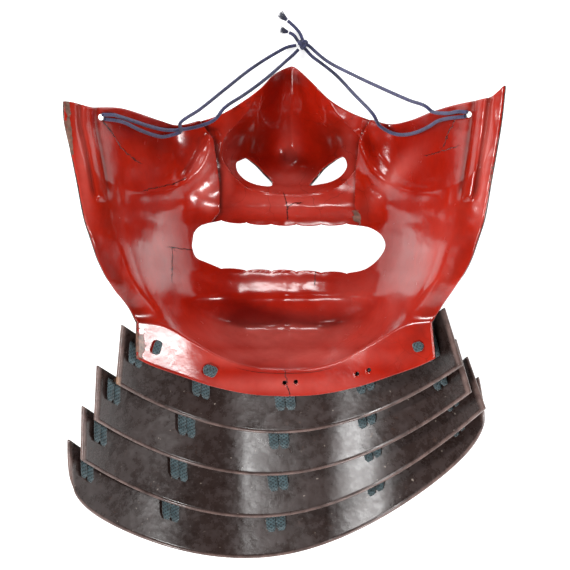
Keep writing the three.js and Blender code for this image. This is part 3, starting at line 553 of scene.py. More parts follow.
def grid(a_values, b_values):
    """Places and triangles of a grid of shares: two triangles in each cell, turned to face up."""
    a, b = (g.ravel() for g in np.meshgrid(a_values, b_values))
    n = len(a_values)
    i, j = np.meshgrid(np.arange(n - 1), np.arange(len(b_values) - 1))
    k = (j * n + i).ravel()
    return a, b, np.concatenate([np.stack([k, k + 1, k + n + 1], 1), np.stack([k, k + n + 1, k + n], 1)])


# A place moves onto a field's zero line if it lies within the first, in millimetres, and nearer
# than the second, as a share of a cell
SNAP_WITHIN, SNAP_SHARE = 1.5, 0.25


def trim(a, b, triangles, point, field, cell):
    """Keeps the part of a sheet where a field of the plan is positive. Places close to the field's
    zero line move onto it along the field's slope, and each triangle that still crosses it is cut
    where the field is zero."""
    def value_at(a, b):
        p = point(a, b)
        return field(p[:, 0], p[:, 1])

    value = value_at(a, b)
    close = np.flatnonzero(np.abs(value) < SNAP_WITHIN)
    ga = (value_at(a[close] + cell[0] / 2, b[close]) - value_at(a[close] - cell[0] / 2, b[close]))
    gb = (value_at(a[close], b[close] + cell[1] / 2) - value_at(a[close], b[close] - cell[1] / 2))
    steep = np.hypot(ga, gb)
    snap = np.abs(value[close]) < SNAP_SHARE * steep
    at, ga, gb, steep = close[snap], ga[snap], gb[snap], steep[snap]
    a, b = a.copy(), b.copy()
    a[at] -= value[at] * ga / steep ** 2 * cell[0]
    b[at] -= value[at] * gb / steep ** 2 * cell[1]
    value[at] = 0
    sign = np.sign(value).astype(int)
    corner_sign = sign[triangles]
    whole = triangles[(corner_sign.min(1) >= 0) & (corner_sign.max(1) > 0)]
    mixed = triangles[(corner_sign.min(1) < 0) & (corner_sign.max(1) > 0)]
    start, end = mixed, np.roll(mixed, -1, axis=1)
    crosses = sign[start] * sign[end] < 0
    edges = np.sort(np.stack([start[crosses], end[crosses]], 1), axis=1)
    edges, which = np.unique(edges, axis=0, return_inverse=True)
    share = value[edges[:, 0]] / (value[edges[:, 0]] - value[edges[:, 1]])
    new_a, new_b = mix(a[edges[:, 0]], a[edges[:, 1]], share), mix(b[edges[:, 0]], b[edges[:, 1]], share)
    slots = np.full((len(mixed), 6), -1)
    slots[:, 0::2] = np.where(sign[mixed] >= 0, mixed, -1)
    cut = slots[:, 1::2]
    cut[crosses] = len(a) + which.ravel()
    order = np.argsort(slots < 0, axis=1, kind="stable")[:, :4]
    ring = np.take_along_axis(slots, order, axis=1)
    four = ring[:, 3] >= 0
    triangles = np.concatenate([whole, ring[:, :3], ring[four][:, [0, 2, 3]]])
    used, triangles = np.unique(triangles, return_inverse=True)
    a, b = np.concatenate([a, new_a])[used], np.concatenate([b, new_b])[used]
    return a, b, triangles.reshape(-1, 3)


def border(triangles):
    """Edges that only one triangle has, each in that triangle's direction."""
    edges = np.concatenate([triangles[:, [0, 1]], triangles[:, [1, 2]], triangles[:, [2, 0]]])
    size = int(edges.max()) + 1
    forward, backward = edges[:, 0] * size + edges[:, 1], edges[:, 1] * size + edges[:, 0]
    return edges[~np.isin(forward, backward)]


def plate(front, back, triangles, bulge):
    """A closed plate from its front and back places: the back is the front's triangles turned over,
    and the rim between them is a half ellipse carried along the border, with its bulge away from
    the plate. Also gives each place's side (0 front, 1 back) and the border's places."""
    n = len(front)
    edges = border(triangles)
    ends = np.unique(edges)
    index = np.full(n, -1)
    index[ends] = np.arange(len(ends))
    ahead, behind = np.zeros((n, 3)), np.zeros((n, 3))
    ahead[edges[:, 0]], behind[edges[:, 1]] = front[edges[:, 1]], front[edges[:, 0]]
    along = unit(ahead[ends] - behind[ends])
    out = unit(np.cross(along, unit(front[ends] - back[ends])))
    middle, half = (front[ends] + back[ends]) / 2, (front[ends] - back[ends]) / 2
    share = np.arange(1, RIM_ROWS + 1) / (RIM_ROWS + 1)
    turn = np.pi * share[:, None, None]
    rim = middle + half * np.cos(turn) + out * (bulge * np.sin(turn))
    points = np.concatenate([front, rim.reshape(-1, 3), back])
    u, v = edges.T
    last = n + RIM_ROWS * len(ends)
    starts = [n + k * len(ends) for k in range(RIM_ROWS)]
    layers = [(u, v), *((start + index[u], start + index[v]) for start in starts), (u + last, v + last)]
    walls = [np.stack([v0, u0, u1, v1], 1) for (u0, v0), (u1, v1) in zip(layers, layers[1:])]
    side = np.concatenate([np.zeros(n), np.repeat(share, len(ends)), np.ones(n)])
    return points, [triangles, triangles[:, ::-1] + last, *walls], side, ends


def curved_plate(name, point, back, thickness, a_values, b_values, fields, finish, bulge, maps):
    """Trims a sheet by fields of the plan, gives it its thickness and rim, and makes the piece."""
    cell = (np.diff(a_values).mean(), np.diff(b_values).mean())
    a, b, triangles = grid(a_values, b_values)
    for field in fields:
        a, b, triangles = trim(a, b, triangles, point, field, cell)
    front = point(a, b)
    behind = front + back(a, b) * thickness
    front[:, 2] = np.maximum(front[:, 2], FLOOR + FRONT_ABOVE_FLOOR)
    behind[:, 2] = np.maximum(behind[:, 2], FLOOR)
    points, faces, side, ends = plate(front, behind, triangles, bulge)
    points[:, 2] = np.maximum(points[:, 2], FLOOR)
    values = {k: np.concatenate([v, np.tile(v[ends], RIM_ROWS), v]) for k, v in maps(front, a, b).items()}
    return piece(name + "_lacquered", points, faces, finish, [name], {**values, "side": side})


def sweep(path, across, out, half_width, half_height, sides, relief=None):
    """A closed tube along a path: each ring is an ellipse in the directions across and out, times
    one plus a relief that depends on the turn round the ring and the distance along the path. Its
    two ends close onto their middles."""
    n = len(path)
    turn = np.linspace(0, 2 * np.pi, sides, endpoint=False)
    along = lengths_along(path)
    swell = 1 + (relief(turn[None, :], along[:, None]) if relief else np.zeros((n, sides)))
    wide, high = np.broadcast_to(half_width, n)[:, None], np.broadcast_to(half_height, n)[:, None]
    rings = (path[:, None] + across[:, None] * (wide * np.cos(turn) * swell)[..., None]
             + out[:, None] * (high * np.sin(turn) * swell)[..., None])
    points = np.concatenate([rings.reshape(-1, 3), path[[0, -1]]])
    i, j = (g.ravel() for g in np.meshgrid(np.arange(sides), np.arange(n - 1)))
    k = (i + 1) % sides
    quads = np.stack([j * sides + i, j * sides + k, (j + 1) * sides + k, (j + 1) * sides + i], 1)
    c, end = np.arange(sides), (n - 1) * sides
    d = (c + 1) % sides
    caps = np.concatenate([np.stack([np.full(sides, n * sides), d, c], 1),
                           np.stack([np.full(sides, n * sides + 1), c + end, d + end], 1)])
    here, ahead = along[j], along[j + 1]
    quad_uv = np.stack([i, here, i + 1, here, i + 1, ahead, i, ahead], 1).reshape(-1, 4, 2)
    cap_uv = np.stack([np.tile(c, 2), np.repeat(along[[0, -1]], sides)], 1)[:, None] + np.zeros((1, 3, 1))
    if np.dot(np.cross(across[0], out[0]), path[1] - path[0]) < 0:
        quads, caps, quad_uv = quads[:, ::-1], caps[:, ::-1], quad_uv[:, ::-1]
    return points, quads, caps, quad_uv / (sides, 1), cap_uv / (sides, 1)


def join(tubes):
    """Several closed tubes as one mesh: its points, faces and texture places."""
    starts = np.cumsum([0] + [len(t[0]) for t in tubes])
    quads = np.concatenate([t[1] + s for t, s in zip(tubes, starts)])
    caps = np.concatenate([t[2] + s for t, s in zip(tubes, starts)])
    uv = np.concatenate([t[3].reshape(-1, 2) for t in tubes] + [t[4].reshape(-1, 2) for t in tubes])
    return np.concatenate([t[0] for t in tubes]), [quads, caps], uv


def directions(path):
    """Two directions square to a path at each of its points, the first of them level."""
    tangent = unit(np.gradient(path, axis=0))
    across = unit(np.cross(tangent, (0.0, 0.0, 1.0)))
    return across, np.cross(across, tangent)


def braid(turn, along):
    """Relief of a round braid: two sets of strands that wind round the cord in opposite ways."""
    one = np.abs(np.cos(turn * BRAID_STRANDS / 2 + np.pi * along / BRAID_PITCH))
    two = np.abs(np.cos(turn * BRAID_STRANDS / 2 - np.pi * along / BRAID_PITCH))
    return BRAID_DEPTH * (np.maximum(one, two) - 1)


def lace_relief(turn, along):
    """Three plump strands side by side along the lace, each with slanting threads."""
    strand = np.abs(np.sin(1.5 * turn + 0.35 * np.sin(along * 1.1)))
    return 0.2 * (strand ** 0.6 - 1) + 0.035 * np.cos(9 * turn + along * 5.2)


# ------------------------------------------------------------------ finishes


class Finish:
    """A material, and short ways to add the nodes that make it."""

    def __init__(self, name, constants):
        self.material = bpy.data.materials.new(name)
        self.material.use_nodes = True
        self.tree = self.material.node_tree
        self.shader = self.tree.nodes["Principled BSDF"]
        for socket, value in constants.items():
            self.shader.inputs[socket].default_value = value
        self.place = self.tree.nodes.new("ShaderNodeTexCoord").outputs["Object"]

    def node(self, kind, inputs, output=0, **settings):
        """A node with its settings, whose inputs are linked to sockets or set to values."""
        made = self.tree.nodes.new("ShaderNode" + kind)
        for key, value in settings.items():
            setattr(made, key, value)
        for key, value in inputs.items():
            if isinstance(value, bpy.types.NodeSocket):
                self.tree.links.new(value, made.inputs[key])
            else:
                made.inputs[key].default_value = value
        return made.outputs[output]

    def value(self, name):
        """A map that the mesh carries."""
        return self.node("Attribute", {}, output="Fac", attribute_name=name)

    def noise(self, scale, detail=3.0, roughness=0.55, place=None):
        """Cloudy noise over the object's own place."""
        return self.node("TexNoise", {"Vector": place or self.place, "Scale": scale, "Detail": detail,
                                      "Roughness": roughness})

    def math(self, operation, a, b=0.0):
        """One sum with one or two numbers."""
        return self.node("Math", {0: a, 1: b}, operation=operation)

    def between(self, value, low, high, to_low=0.0, to_high=1.0):
        """A value carried from one range to another and held inside it."""
        return self.node("MapRange", {"Value": value, "From Min": low, "From Max": high,
                                      "To Min": to_low, "To Max": to_high})

    def blend(self, share, one, two):
        """A colour the given share of the way from one to two."""
        one, two = (c if isinstance(c, bpy.types.NodeSocket) else (*c[:3], 1.0) for c in (one, two))
        return self.node("Mix", {0: share, 6: one, 7: two}, output=2, data_type="RGBA")

    def link(self, socket, name):
        """Links a socket to one of the shader's inputs."""
        self.tree.links.new(socket, self.shader.inputs[name])

    def bump(self, steps):
        """Bumps one after the other: each step is a height and the depth of its relief in metres."""
        normal = None
        for height, depth in steps:
            inputs = {"Height": height, "Distance": depth, "Strength": 1.0}
            if normal:
                inputs["Normal"] = normal
            normal = self.node("Bump", inputs)
        self.link(normal, "Normal")
        return self.material


RED_FINISH = "red_and_brown_lacquer"


def red_lacquer(s):
    """Red lacquer inside, brown-black outside: cloudy colour, painted shade where the shade map says, painted
    sheen where the sheen map says, hairlines, cracks, pale specks and chips down to the tan ground."""
    f = Finish(RED_FINISH, {"Coat Weight": 0.16, "Coat Roughness": 0.16, "IOR": 1.42})
    cloud, fine = f.noise(26, 5, 0.6), f.noise(330, 4, 0.65)
    side, tone, bloom, chip, crack, near = (
        f.value(n) for n in ("side", "tone", "bloom", "chip", "crack", "crack_near"))
    red = f.blend(f.between(cloud, 0.36, 0.66), s.deep_red, s.bright_red)
    red = f.blend(f.between(fine, 0.35, 0.75, 0.0, 0.22), red, s.dark_red_and_shade)
    # Painted shade: the lacquer turns to its darkest red where the shade map says
    red = f.blend(f.math("MULTIPLY", tone, f.between(f.noise(90, 4), 0.2, 0.7, 0.65, 1.0)), red, s.dark_red_and_shade)
    # Painted sheen: the lacquer pales to pink in patches where the sheen map says
    patchy = f.between(f.noise(70, 4, 0.6), 0.3, 0.65, 0.55, 1.0)
    red = f.blend(f.math("MULTIPLY", bloom, patchy), red, s.painted_sheen_red)
    aimless = f.node("TexNoise", {"Vector": f.place, "Scale": 160.0}, output="Color")
    wander = f.node("VectorMath", {0: aimless, "Scale": 0.006}, operation="SCALE")
    moved = f.node("VectorMath", {0: f.place, 1: wander}, operation="ADD")
    hair = f.node("TexVoronoi", {"Vector": moved, "Scale": 55.0}, output="Distance",
                  feature="DISTANCE_TO_EDGE")
    hair = f.math("MULTIPLY", f.between(hair, 0.0, 0.012, 1.0, 0.0), f.between(f.noise(14, 2), 0.5, 0.62))
    red = f.blend(f.math("MULTIPLY", hair, 0.45), red, s.dark_red_and_shade)
    speck = f.between(f.noise(520, 2, 0.5), 0.74, 0.8)
    red = f.blend(f.math("MULTIPLY", speck, 0.2), red, (0.5, 0.12, 0.08))
    outer = f.blend(f.between(f.noise(60, 5), 0.35, 0.7), s.outer_dark, s.outer_brown)
    ragged_side = f.math("ADD", side, f.between(f.noise(500, 3), 0.3, 0.7, -0.1, 0.1))
    colour = f.blend(f.between(ragged_side, 0.3, 0.42), red, outer)
    ragged = f.math("ADD", chip, f.between(f.noise(260, 5, 0.7), 0.3, 0.72, -0.6, 0.1))
    ground = f.between(ragged, 0.08, 0.2)
    tan = f.blend(f.between(f.noise(420, 4), 0.35, 0.65), (0.1, 0.055, 0.04), (0.28, 0.14, 0.1))
    colour = f.blend(ground, colour, tan)
    jag = f.math("ADD", crack, f.between(f.noise(420, 3, 0.7), 0.25, 0.75, -0.55, 0.55))
    line = f.math("MULTIPLY", f.between(f.math("ABSOLUTE", jag), 0.05, 0.26, 1.0, 0.0), near)
    f.link(f.blend(line, colour, (0.012, 0.005, 0.004)), "Base Color")
    rough = f.between(f.noise(120, 4), 0.3, 0.7, s.roughness - 0.06, s.roughness + 0.08)
    f.link(f.math("MAXIMUM", rough, f.math("MULTIPLY", ground, 0.8)), "Roughness")
    return f.bump([(f.noise(75, 4, 0.5), 0.00035), (fine, 0.00002),
                   (f.math("SUBTRACT", 1.0, line), 0.0004), (f.math("SUBTRACT", 1.0, ground), 0.0003)])


def dark_lacquer(s):
    """Brown-black lacquer over the lames: mottled, with rusty patches, pale specks and scratches."""
    f = Finish("mottled_brown_lacquer", {"IOR": 1.5, "Coat Weight": 0.12, "Coat Roughness": 0.2})
    mottle, fine = f.noise(34, 6, 0.65), f.noise(240, 5, 0.7)
    brown = f.blend(f.between(mottle, 0.36, 0.66), s.dark_brown, s.warm_brown)
    brown = f.blend(f.between(fine, 0.45, 0.75, 0.0, 0.35), brown, s.pale_brown)
    rust = f.math("MULTIPLY", f.between(f.noise(300, 4, 0.75), 0.62, 0.74),
                  f.between(f.noise(20, 3), 0.42, 0.6))
    brown = f.blend(rust, brown, (0.075, 0.032, 0.018))
    speck = f.between(f.noise(520, 1, 0.5), 0.76, 0.8)
    brown = f.blend(f.math("MULTIPLY", speck, 0.7), brown, (0.4, 0.33, 0.28))
    turned = f.node("Mapping", {"Vector": f.place, "Scale": (1, 30, 1), "Rotation": (0, 0, 0.5)})
    scratch = f.between(f.noise(60, 2, 0.6, place=turned), 0.7, 0.74)
    brown = f.blend(f.math("MULTIPLY", scratch, 0.25), brown, s.pale_brown)
    # The rim along the lower edge and the ends is painted a paler brown, in patches
    paler_rim = f.math("MULTIPLY", f.value("rim"), f.between(f.noise(180, 4), 0.3, 0.6, 0.3, 1.0))
    brown = f.blend(paler_rim, brown, s.rim_brown)
    chip = f.math("ADD", f.value("chip"), f.between(f.noise(300, 5, 0.7), 0.3, 0.72, -0.6, 0.1))
    f.link(f.blend(f.between(chip, 0.08, 0.2), brown, (0.3, 0.17, 0.11)), "Base Color")
    rough = f.between(f.math("ADD", mottle, fine), 0.7, 1.3, s.roughness - 0.08, s.roughness + 0.12)
    f.link(rough, "Roughness")
    return f.bump([(f.noise(60, 3, 0.5), 0.0003), (fine, 0.00004), (f.noise(900, 3, 0.6), 0.00001)])


def thread(name, slot_colours, strands, pitch):
    """Braided thread: two sets of strands cross round the cord, with painted shade where they dip."""
    light, dip_shade = slot_colours
    f = Finish(name, {"Roughness": 0.8, "Sheen Weight": 0.35, "Sheen Roughness": 0.5, "IOR": 1.45})
    uv = f.node("UVMap", {}, uv_map="UVMap")
    u, v = (f.node("SeparateXYZ", {"Vector": uv}, output=axis) for axis in ("X", "Y"))
    turn, along = f.math("MULTIPLY", u, np.pi * strands), f.math("MULTIPLY", v, np.pi / pitch)
    one = f.math("ABSOLUTE", f.math("COSINE", f.math("ADD", turn, along)))
    two = f.math("ABSOLUTE", f.math("COSINE", f.math("SUBTRACT", turn, along)))
    height, fibre = f.math("MAXIMUM", one, two), f.noise(2600, 2, 0.6)
    # Painted shade: the thread turns to its shade colour where the strands dip, with random mottling over it
    tint = f.between(f.math("ADD", height, f.between(f.noise(420, 4), 0.3, 0.7, -0.25, 0.25)), 0.55, 1.1)
    lit = tuple(min(1.0, c * 2.2 + 0.02) for c in light)
    f.link(f.blend(f.between(fibre, 0.5, 0.75, 0.0, 0.35), f.blend(tint, dip_shade, light), lit), "Base Color")
    return f.bump([(height, 0.0004), (fibre, 0.00006)])


# ------------------------------------------------------------------ wear, painted shade and sheen, and what is cut out

# Painted shade in recesses, nose pits, along the seams and along the jaw: x, y, radius along, radius across, turn
# in degrees, strength
PAINTED_SHADE_SPOTS = [
    (-74.0, 48.0, 4.5, 24.0, 4.0, 0.6),
    (74.5, 48.0, 3.5, 22.0, -4.0, 0.35),
    (-56.0, 82.0, 10.0, 9.0, 0.0, 0.4),
    (-66.0, 5.0, 34.0, 3.5, 118.0, 0.7),
    (64.0, 5.0, 34.0, 3.0, 62.0, 0.4),
    (-68.0, 80.0, 15.0, 7.0, 0.0, 0.5),
    (66.0, 82.0, 16.0, 6.0, 0.0, 0.35),
    (-58.0, 74.0, 14.0, 10.0, 20.0, 0.3),
    (-15.0, 77.0, 9.0, 7.0, 70.0, 0.75),
    (21.5, 77.0, 8.0, 7.0, 110.0, 0.7),
    (-38.0, 33.0, 4.0, 9.0, 0.0, 0.5),
    (0.0, -5.0, 44.0, 3.5, 0.0, 0.25),
    (35.0, 44.0, 3.0, 8.0, 0.0, 0.5),
    (3.0, 103.0, 16.0, 3.0, 0.0, 0.45),
    (-26.0, 46.0, 4.0, 10.0, 0.0, 0.35),
    (2.0, 60.0, 14.0, 3.0, 0.0, 0.3),
    (-22.0, 40.0, 20.0, 2.5, 0.0, 0.35),
    (20.0, 40.0, 20.0, 2.5, 0.0, 0.35),
]
# Painted sheen, a paler pink where the lacquer would reflect the lamps, in the same columns
PAINTED_SHEEN_SPOTS = [
    (-1.0, -10.0, 34.0, 7.5, 0.0, 1.0),
    (0.0, -19.0, 36.0, 4.0, 0.0, 0.9),
    (0.0, -32.0, 40.0, 4.0, 0.0, 0.5),
    (3.0, 58.5, 11.0, 3.5, 0.0, 0.6),
    (2.0, 72.0, 4.0, 12.0, 0.0, 0.35),
    (30.0, 6.0, 20.0, 10.0, 40.0, 0.3),
    (-36.0, 62.0, 9.0, 4.5, 75.0, 0.9),
    (-35.0, 54.0, 5.0, 5.0, 0.0, 1.0),
    (-33.0, 46.5, 3.0, 2.5, 0.0, 0.9),
    (47.0, 58.0, 14.0, 4.0, 48.0, 0.6),
    (0.0, 48.0, 24.0, 5.0, 0.0, 0.5),
    (-25.0, 64.0, 3.0, 18.0, 0.0, 0.35),
    (28.0, 64.0, 3.0, 18.0, 0.0, 0.3),
    (-84.0, 62.0, 2.6, 26.0, 4.0, 0.5),
    (83.0, 62.0, 2.4, 26.0, -4.0, 0.6),
    (9.0, 24.0, 30.0, 2.5, 0.0, 0.45),
    (-2.0, 12.0, 12.0, 2.5, 0.0, 0.7),
    (2.0, 54.0, 17.0, 3.0, 0.0, 0.35),
    (46.0, 2.0, 16.0, 8.0, 50.0, 0.25),
    (62.0, 20.0, 8.0, 20.0, -20.0, 0.2),
]
# Chips down to the ground: x, y, radius along, radius across, turn in degrees, strength
SHELL_CHIPS = [
    (-61.8, -14.0, 2.3, 6.0, 0.0, 1.0),
    (-89.2, 72.0, 1.2, 24.0, 4.0, 0.8),
    (86.2, 57.0, 1.2, 5.0, -6.0, 1.0),
    (84.6, 41.0, 1.3, 3.0, -8.0, 1.0),
    (73.0, 10.0, 1.0, 2.5, -20.0, 0.9),
    (31.6, 41.5, 1.8, 3.6, 20.0, 0.9),
]
LAME_CHIPS = [(-72.0, -31.0, 1.6, 4.0, 0.0, 1.0), (80.0, -12.0, 1.5, 3.0, 0.0, 1.0)]
# Cracks: lines of x, y
CRACKS = [
    [(-76.0, 80.0), (-71.5, 74.0), (-69.5, 70.0), (-67.5, 68.0), (-64.0, 65.0), (-62.0, 64.0)],
    [(-43.5, 58.0), (-48.0, 55.8), (-53.0, 54.2), (-60.0, 52.0)],
    [(-0.5, 51.5), (1.0, 46.0), (1.2, 41.0)], [(1.2, 46.0), (4.0, 47.5), (7.0, 47.8)],
    [(13.5, 17.5), (13.2, 12.0)], [(60.5, 67.0), (66.0, 68.3), (72.0, 69.8)],
    [(71.5, 81.0), (69.0, 76.0), (67.0, 70.0)], [(-49.0, 27.0), (-49.0, 14.0)],
    [(0.0, -26.0), (1.0, -30.5)], [(0.9, -32.2), (2.0, -36.0)], [(-50.0, 28.0), (-41.0, 27.0)],
]


def spots(rows, x, y):
    """The strongest of several soft elliptical spots at each place: a bell of the distance in units
    of a spot's two radii."""
    best = np.zeros(len(x))
    for cx, cy, long, wide, turn, strength in rows:
        c, s = np.cos(np.radians(turn)), np.sin(np.radians(turn))
        u, v = ((x - cx) * c + (y - cy) * s) / long, ((y - cy) * c - (x - cx) * s) / wide
        best = np.maximum(best, strength * np.exp(-(u * u + v * v)))
    return best


def crack_values(x, y):
    """Signed distance from the nearest crack's line, and how much of the crack shows there."""
    best, signed = np.full(len(x), 9.0), np.full(len(x), 9.0)
    for line in CRACKS:
        line = np.array(line)
        low, high = line.min(0) - 3, line.max(0) + 3
        near = np.flatnonzero((x > low[0]) & (x < high[0]) & (y > low[1]) & (y < high[1]))
        d = np.diff(line, axis=0)
        px, py, far = from_stretches(line[:-1], d, x[near], y[near])
        k, rows = far.argmin(1), np.arange(len(near))
        sign = np.sign(px[rows, k] * d[k, 1] - py[rows, k] * d[k, 0])
        closer = far[rows, k] < best[near]
        best[near[closer]] = far[rows, k][closer]
        signed[near[closer]] = (sign * far[rows, k])[closer]
    return np.clip(signed, -1.6, 1.6), ease((1.5 - best) / 0.7)


def lacquer_maps(front, a, b):
    """The maps that the red lacquer reads: painted shade, painted sheen, chip and crack. The painted shade is
    strongest in the recesses along the seams and the ear beads."""
    x, y = front[:, 0], front[:, 1]
    crack, near = crack_values(x, y)
    share = np.abs(2 * a - 1)
    # Painted shade in the grooves beside the ear beads
    groove = (bell(share - 0.942, 0.012) + bell(share - 0.868, 0.016)) * ease((y - BEAD_BOTTOM) / 6)
    return {"tone": np.maximum(spots(PAINTED_SHADE_SPOTS, x, y), 0.85 * groove), "bloom": spots(PAINTED_SHEEN_SPOTS, x, y),
            "chip": spots(SHELL_CHIPS, x, y), "crack": crack, "crack_near": near}


def nose_maps(front, a, b):
    """The same maps for the nose plate, with painted shadow along the cheeks' edges that lie over it."""
    maps = lacquer_maps(front, a, b)
    x, y = front[:, 0], front[:, 1]
    left, right = (np.interp(y, [q for _, q in seam[::-1]], [q for q, _ in seam[::-1]])
                   for seam in (LEFT_SEAM, RIGHT_SEAM))
    # Painted shadow of the cheeks' edges on the plate, stronger on the left
    seam_shadow = np.maximum(0.95 * bell(x - left, 2.2), 0.7 * bell(x - right, 1.2))
    maps["tone"] = np.maximum(maps["tone"], seam_shadow)
    return maps


# Where the shell's columns lie: share of the columns, share of the half-width
COLUMN_SPACING = np.array([
    [0.0, 0.0], [0.35, 0.38], [0.62, 0.74], [0.75, 0.86], [0.92, 0.945], [1.0, 1.0],
])


def column_shares(columns):
    """Shares of the shell's width for its columns, closer together at the ear beads."""
    u = np.linspace(-1, 1, columns)
    return (1 + np.sign(u) * smooth(COLUMN_SPACING, np.abs(u))) / 2


MOUTH_EDGE = outside_of(outline(MOUTH))


def mouth_field(x, y):
    """Positive outside the mouth, whose edge is notched between the teeth."""
    tooth = np.abs(np.sin((x + TOOTH_SHIFT) * np.pi / TOOTH_PITCH)) ** TOOTH_POWER
    notches = TOOTH_NOTCH * (1 - tooth) * ease((TEETH_REACH - np.abs(x - TEETH_MIDDLE_X)) / 6)
    return MOUTH_EDGE(x, y) - MOUTH_MARGIN - notches


def seam_outline(margin):
    """Outline of the nose plate, widened by a margin on both sides."""
    left = [(x - margin, y) for x, y in LEFT_SEAM]
    right = [(x + margin, y) for x, y in RIGHT_SEAM][::-1]
    return [(-42 - margin, 120), *left, (-20, 25), (20, 25), *right, (42 + margin, 120)]


# ------------------------------------------------------------------ sizes and colours


def colour(name, description, default):
    """A colour that the user may change."""
    return FloatVectorProperty(name=name, description=description, subtype="COLOR", size=3, default=default,
                               min=0, max=1)


def amount(name, description, default, low, high):
    """A number that the user may change."""
    return FloatProperty(name=name, description=description, default=default, min=low, max=high)


def count(name, description, default, low, high):
    """A whole number that the user may change."""
    return IntProperty(name=name, description=description, default=default, min=low, max=high)


class ShellSizes(bpy.types.PropertyGroup):
    """Sizes and colours of the lacquered shell and nose plate."""
    columns: count("Columns", "Columns of the shell's grid", 250, 60, 300)
    rows: count("Rows", "Rows of the shell's grid", 170, 40, 220)
    rim_bulge: amount("Rim bulge", "How far the rounded rim stands out, in millimetres", 0.45, 0.1, 1.0)
    bright_red: colour("Bright red", "Lacquer where it is brightest", (0.5, 0.016, 0.003))
    deep_red: colour("Deep red", "Lacquer where it is deepest", (0.34, 0.008, 0.002))
    # This colour also paints the shade in recesses, besides the fine mottling and the hairlines
    dark_red_and_shade: colour("Dark red", "Lacquer in recesses and along wear", (0.085, 0.006, 0.003))
    # This pink paints the sheen where the lacquer would reflect the lamps
    painted_sheen_red: colour("Pale red", "Bloom on the lacquer", (0.72, 0.15, 0.125))
    outer_dark: colour("Outer dark", "Outside lacquer, darker", (0.014, 0.008, 0.007))
    outer_brown: colour("Outer brown", "Outside lacquer, browner", (0.04, 0.02, 0.014))
    roughness: amount("Roughness", "Roughness of the red lacquer", 0.2, 0.1, 0.8)


class LameSizes(bpy.types.PropertyGroup):
    """Sizes and colours of the throat lames."""
    columns: count("Columns", "Columns of a lame's grid", 240, 40, 300)
    rows: count("Rows", "Rows of a lame's grid", 44, 8, 80)
    rim_height: amount("Rim height", "Height of the raised rim, in millimetres", 0.45, 0.0, 1.0)
    dark_brown: colour("Dark brown", "Lacquer of the lames, darker", (0.02, 0.0105, 0.0085))
    warm_brown: colour("Warm brown", "Lacquer of the lames, warmer", (0.036, 0.021, 0.018))
    pale_brown: colour("Pale brown", "Mottling of the lames", (0.095, 0.066, 0.066))
    # Paler brown that the lames' rim is painted in
    rim_brown: colour("Rim brown", "Worn rim of the lames", (0.2, 0.13, 0.115))
    roughness: amount("Roughness", "Roughness of the lames' lacquer", 0.25, 0.1, 0.8)


class CordSizes(bpy.types.PropertyGroup):
    """Sizes and colours of the laces and the tie cord."""
    diameter: amount("Cord diameter", "Diameter of the tie cord in millimetres", 1.6, 1.0, 2.4)
    tuft_fibres: count("Tuft fibres", "Fibres in each tuft", 90, 10, 200)
    # The second colours of the lace and the cord paint the shade where the strands dip
    lace_light: colour("Lace light", "Lacing thread where it stands up", (0.06, 0.105, 0.12))
    lace_shade: colour("Lace dark", "Lacing thread where it dips", (0.004, 0.008, 0.01))
    cord_light: colour("Cord light", "Tie cord where it stands up", (0.06, 0.065, 0.2))
    cord_shade: colour("Cord dark", "Tie cord where it dips", (0.008, 0.008, 0.035))


class StageSizes(bpy.types.PropertyGroup):
    """Camera, lamps and floor."""
    height: FloatProperty(name="Camera height", description="Camera above the floor", default=1.561,
                          unit="LENGTH", min=0.5)
    lens: FloatProperty(name="Lens", description="Focal length in millimetres", default=220.3, min=20)
    look_x: FloatProperty(name="Camera x", description="Camera to the right", default=0.00107, unit="LENGTH")
    look_y: FloatProperty(name="Camera y", description="Camera towards the nose", default=0.01228, unit="LENGTH")
    floor_colour: colour("Floor", "Colour of the floor", (0.9, 0.9, 0.9))
    floor_glow: FloatProperty(name="Floor glow", description="Light that the floor gives off", default=0.75, min=0)
    strength: FloatProperty(name="Light", description="Strength of all the lamps", default=1.0, min=0)


# Lamps, in metres and watts: name, place, size across, size along, power
LAMPS = [
    ("left", (-1.5, 0.15, 0.9), 0.22, 0.3, 15.0),
    ("right", (1.4, -0.5, 0.9), 0.2, 0.28, 13.0),
    ("top", (0.1, 1.45, 0.85), 0.6, 0.25, 12.0),
    ("bottom", (-0.45, -0.9, 1.2), 0.85, 0.22, 16.0),
    ("high", (-0.6, 0.75, 1.9), 0.22, 0.22, 5.0),
]
LAMP_AIM, WORLD_STRENGTH, FLOOR_REACH = Vector((0, 0, 0.05)), 0.04, 4

# ------------------------------------------------------------------ operators


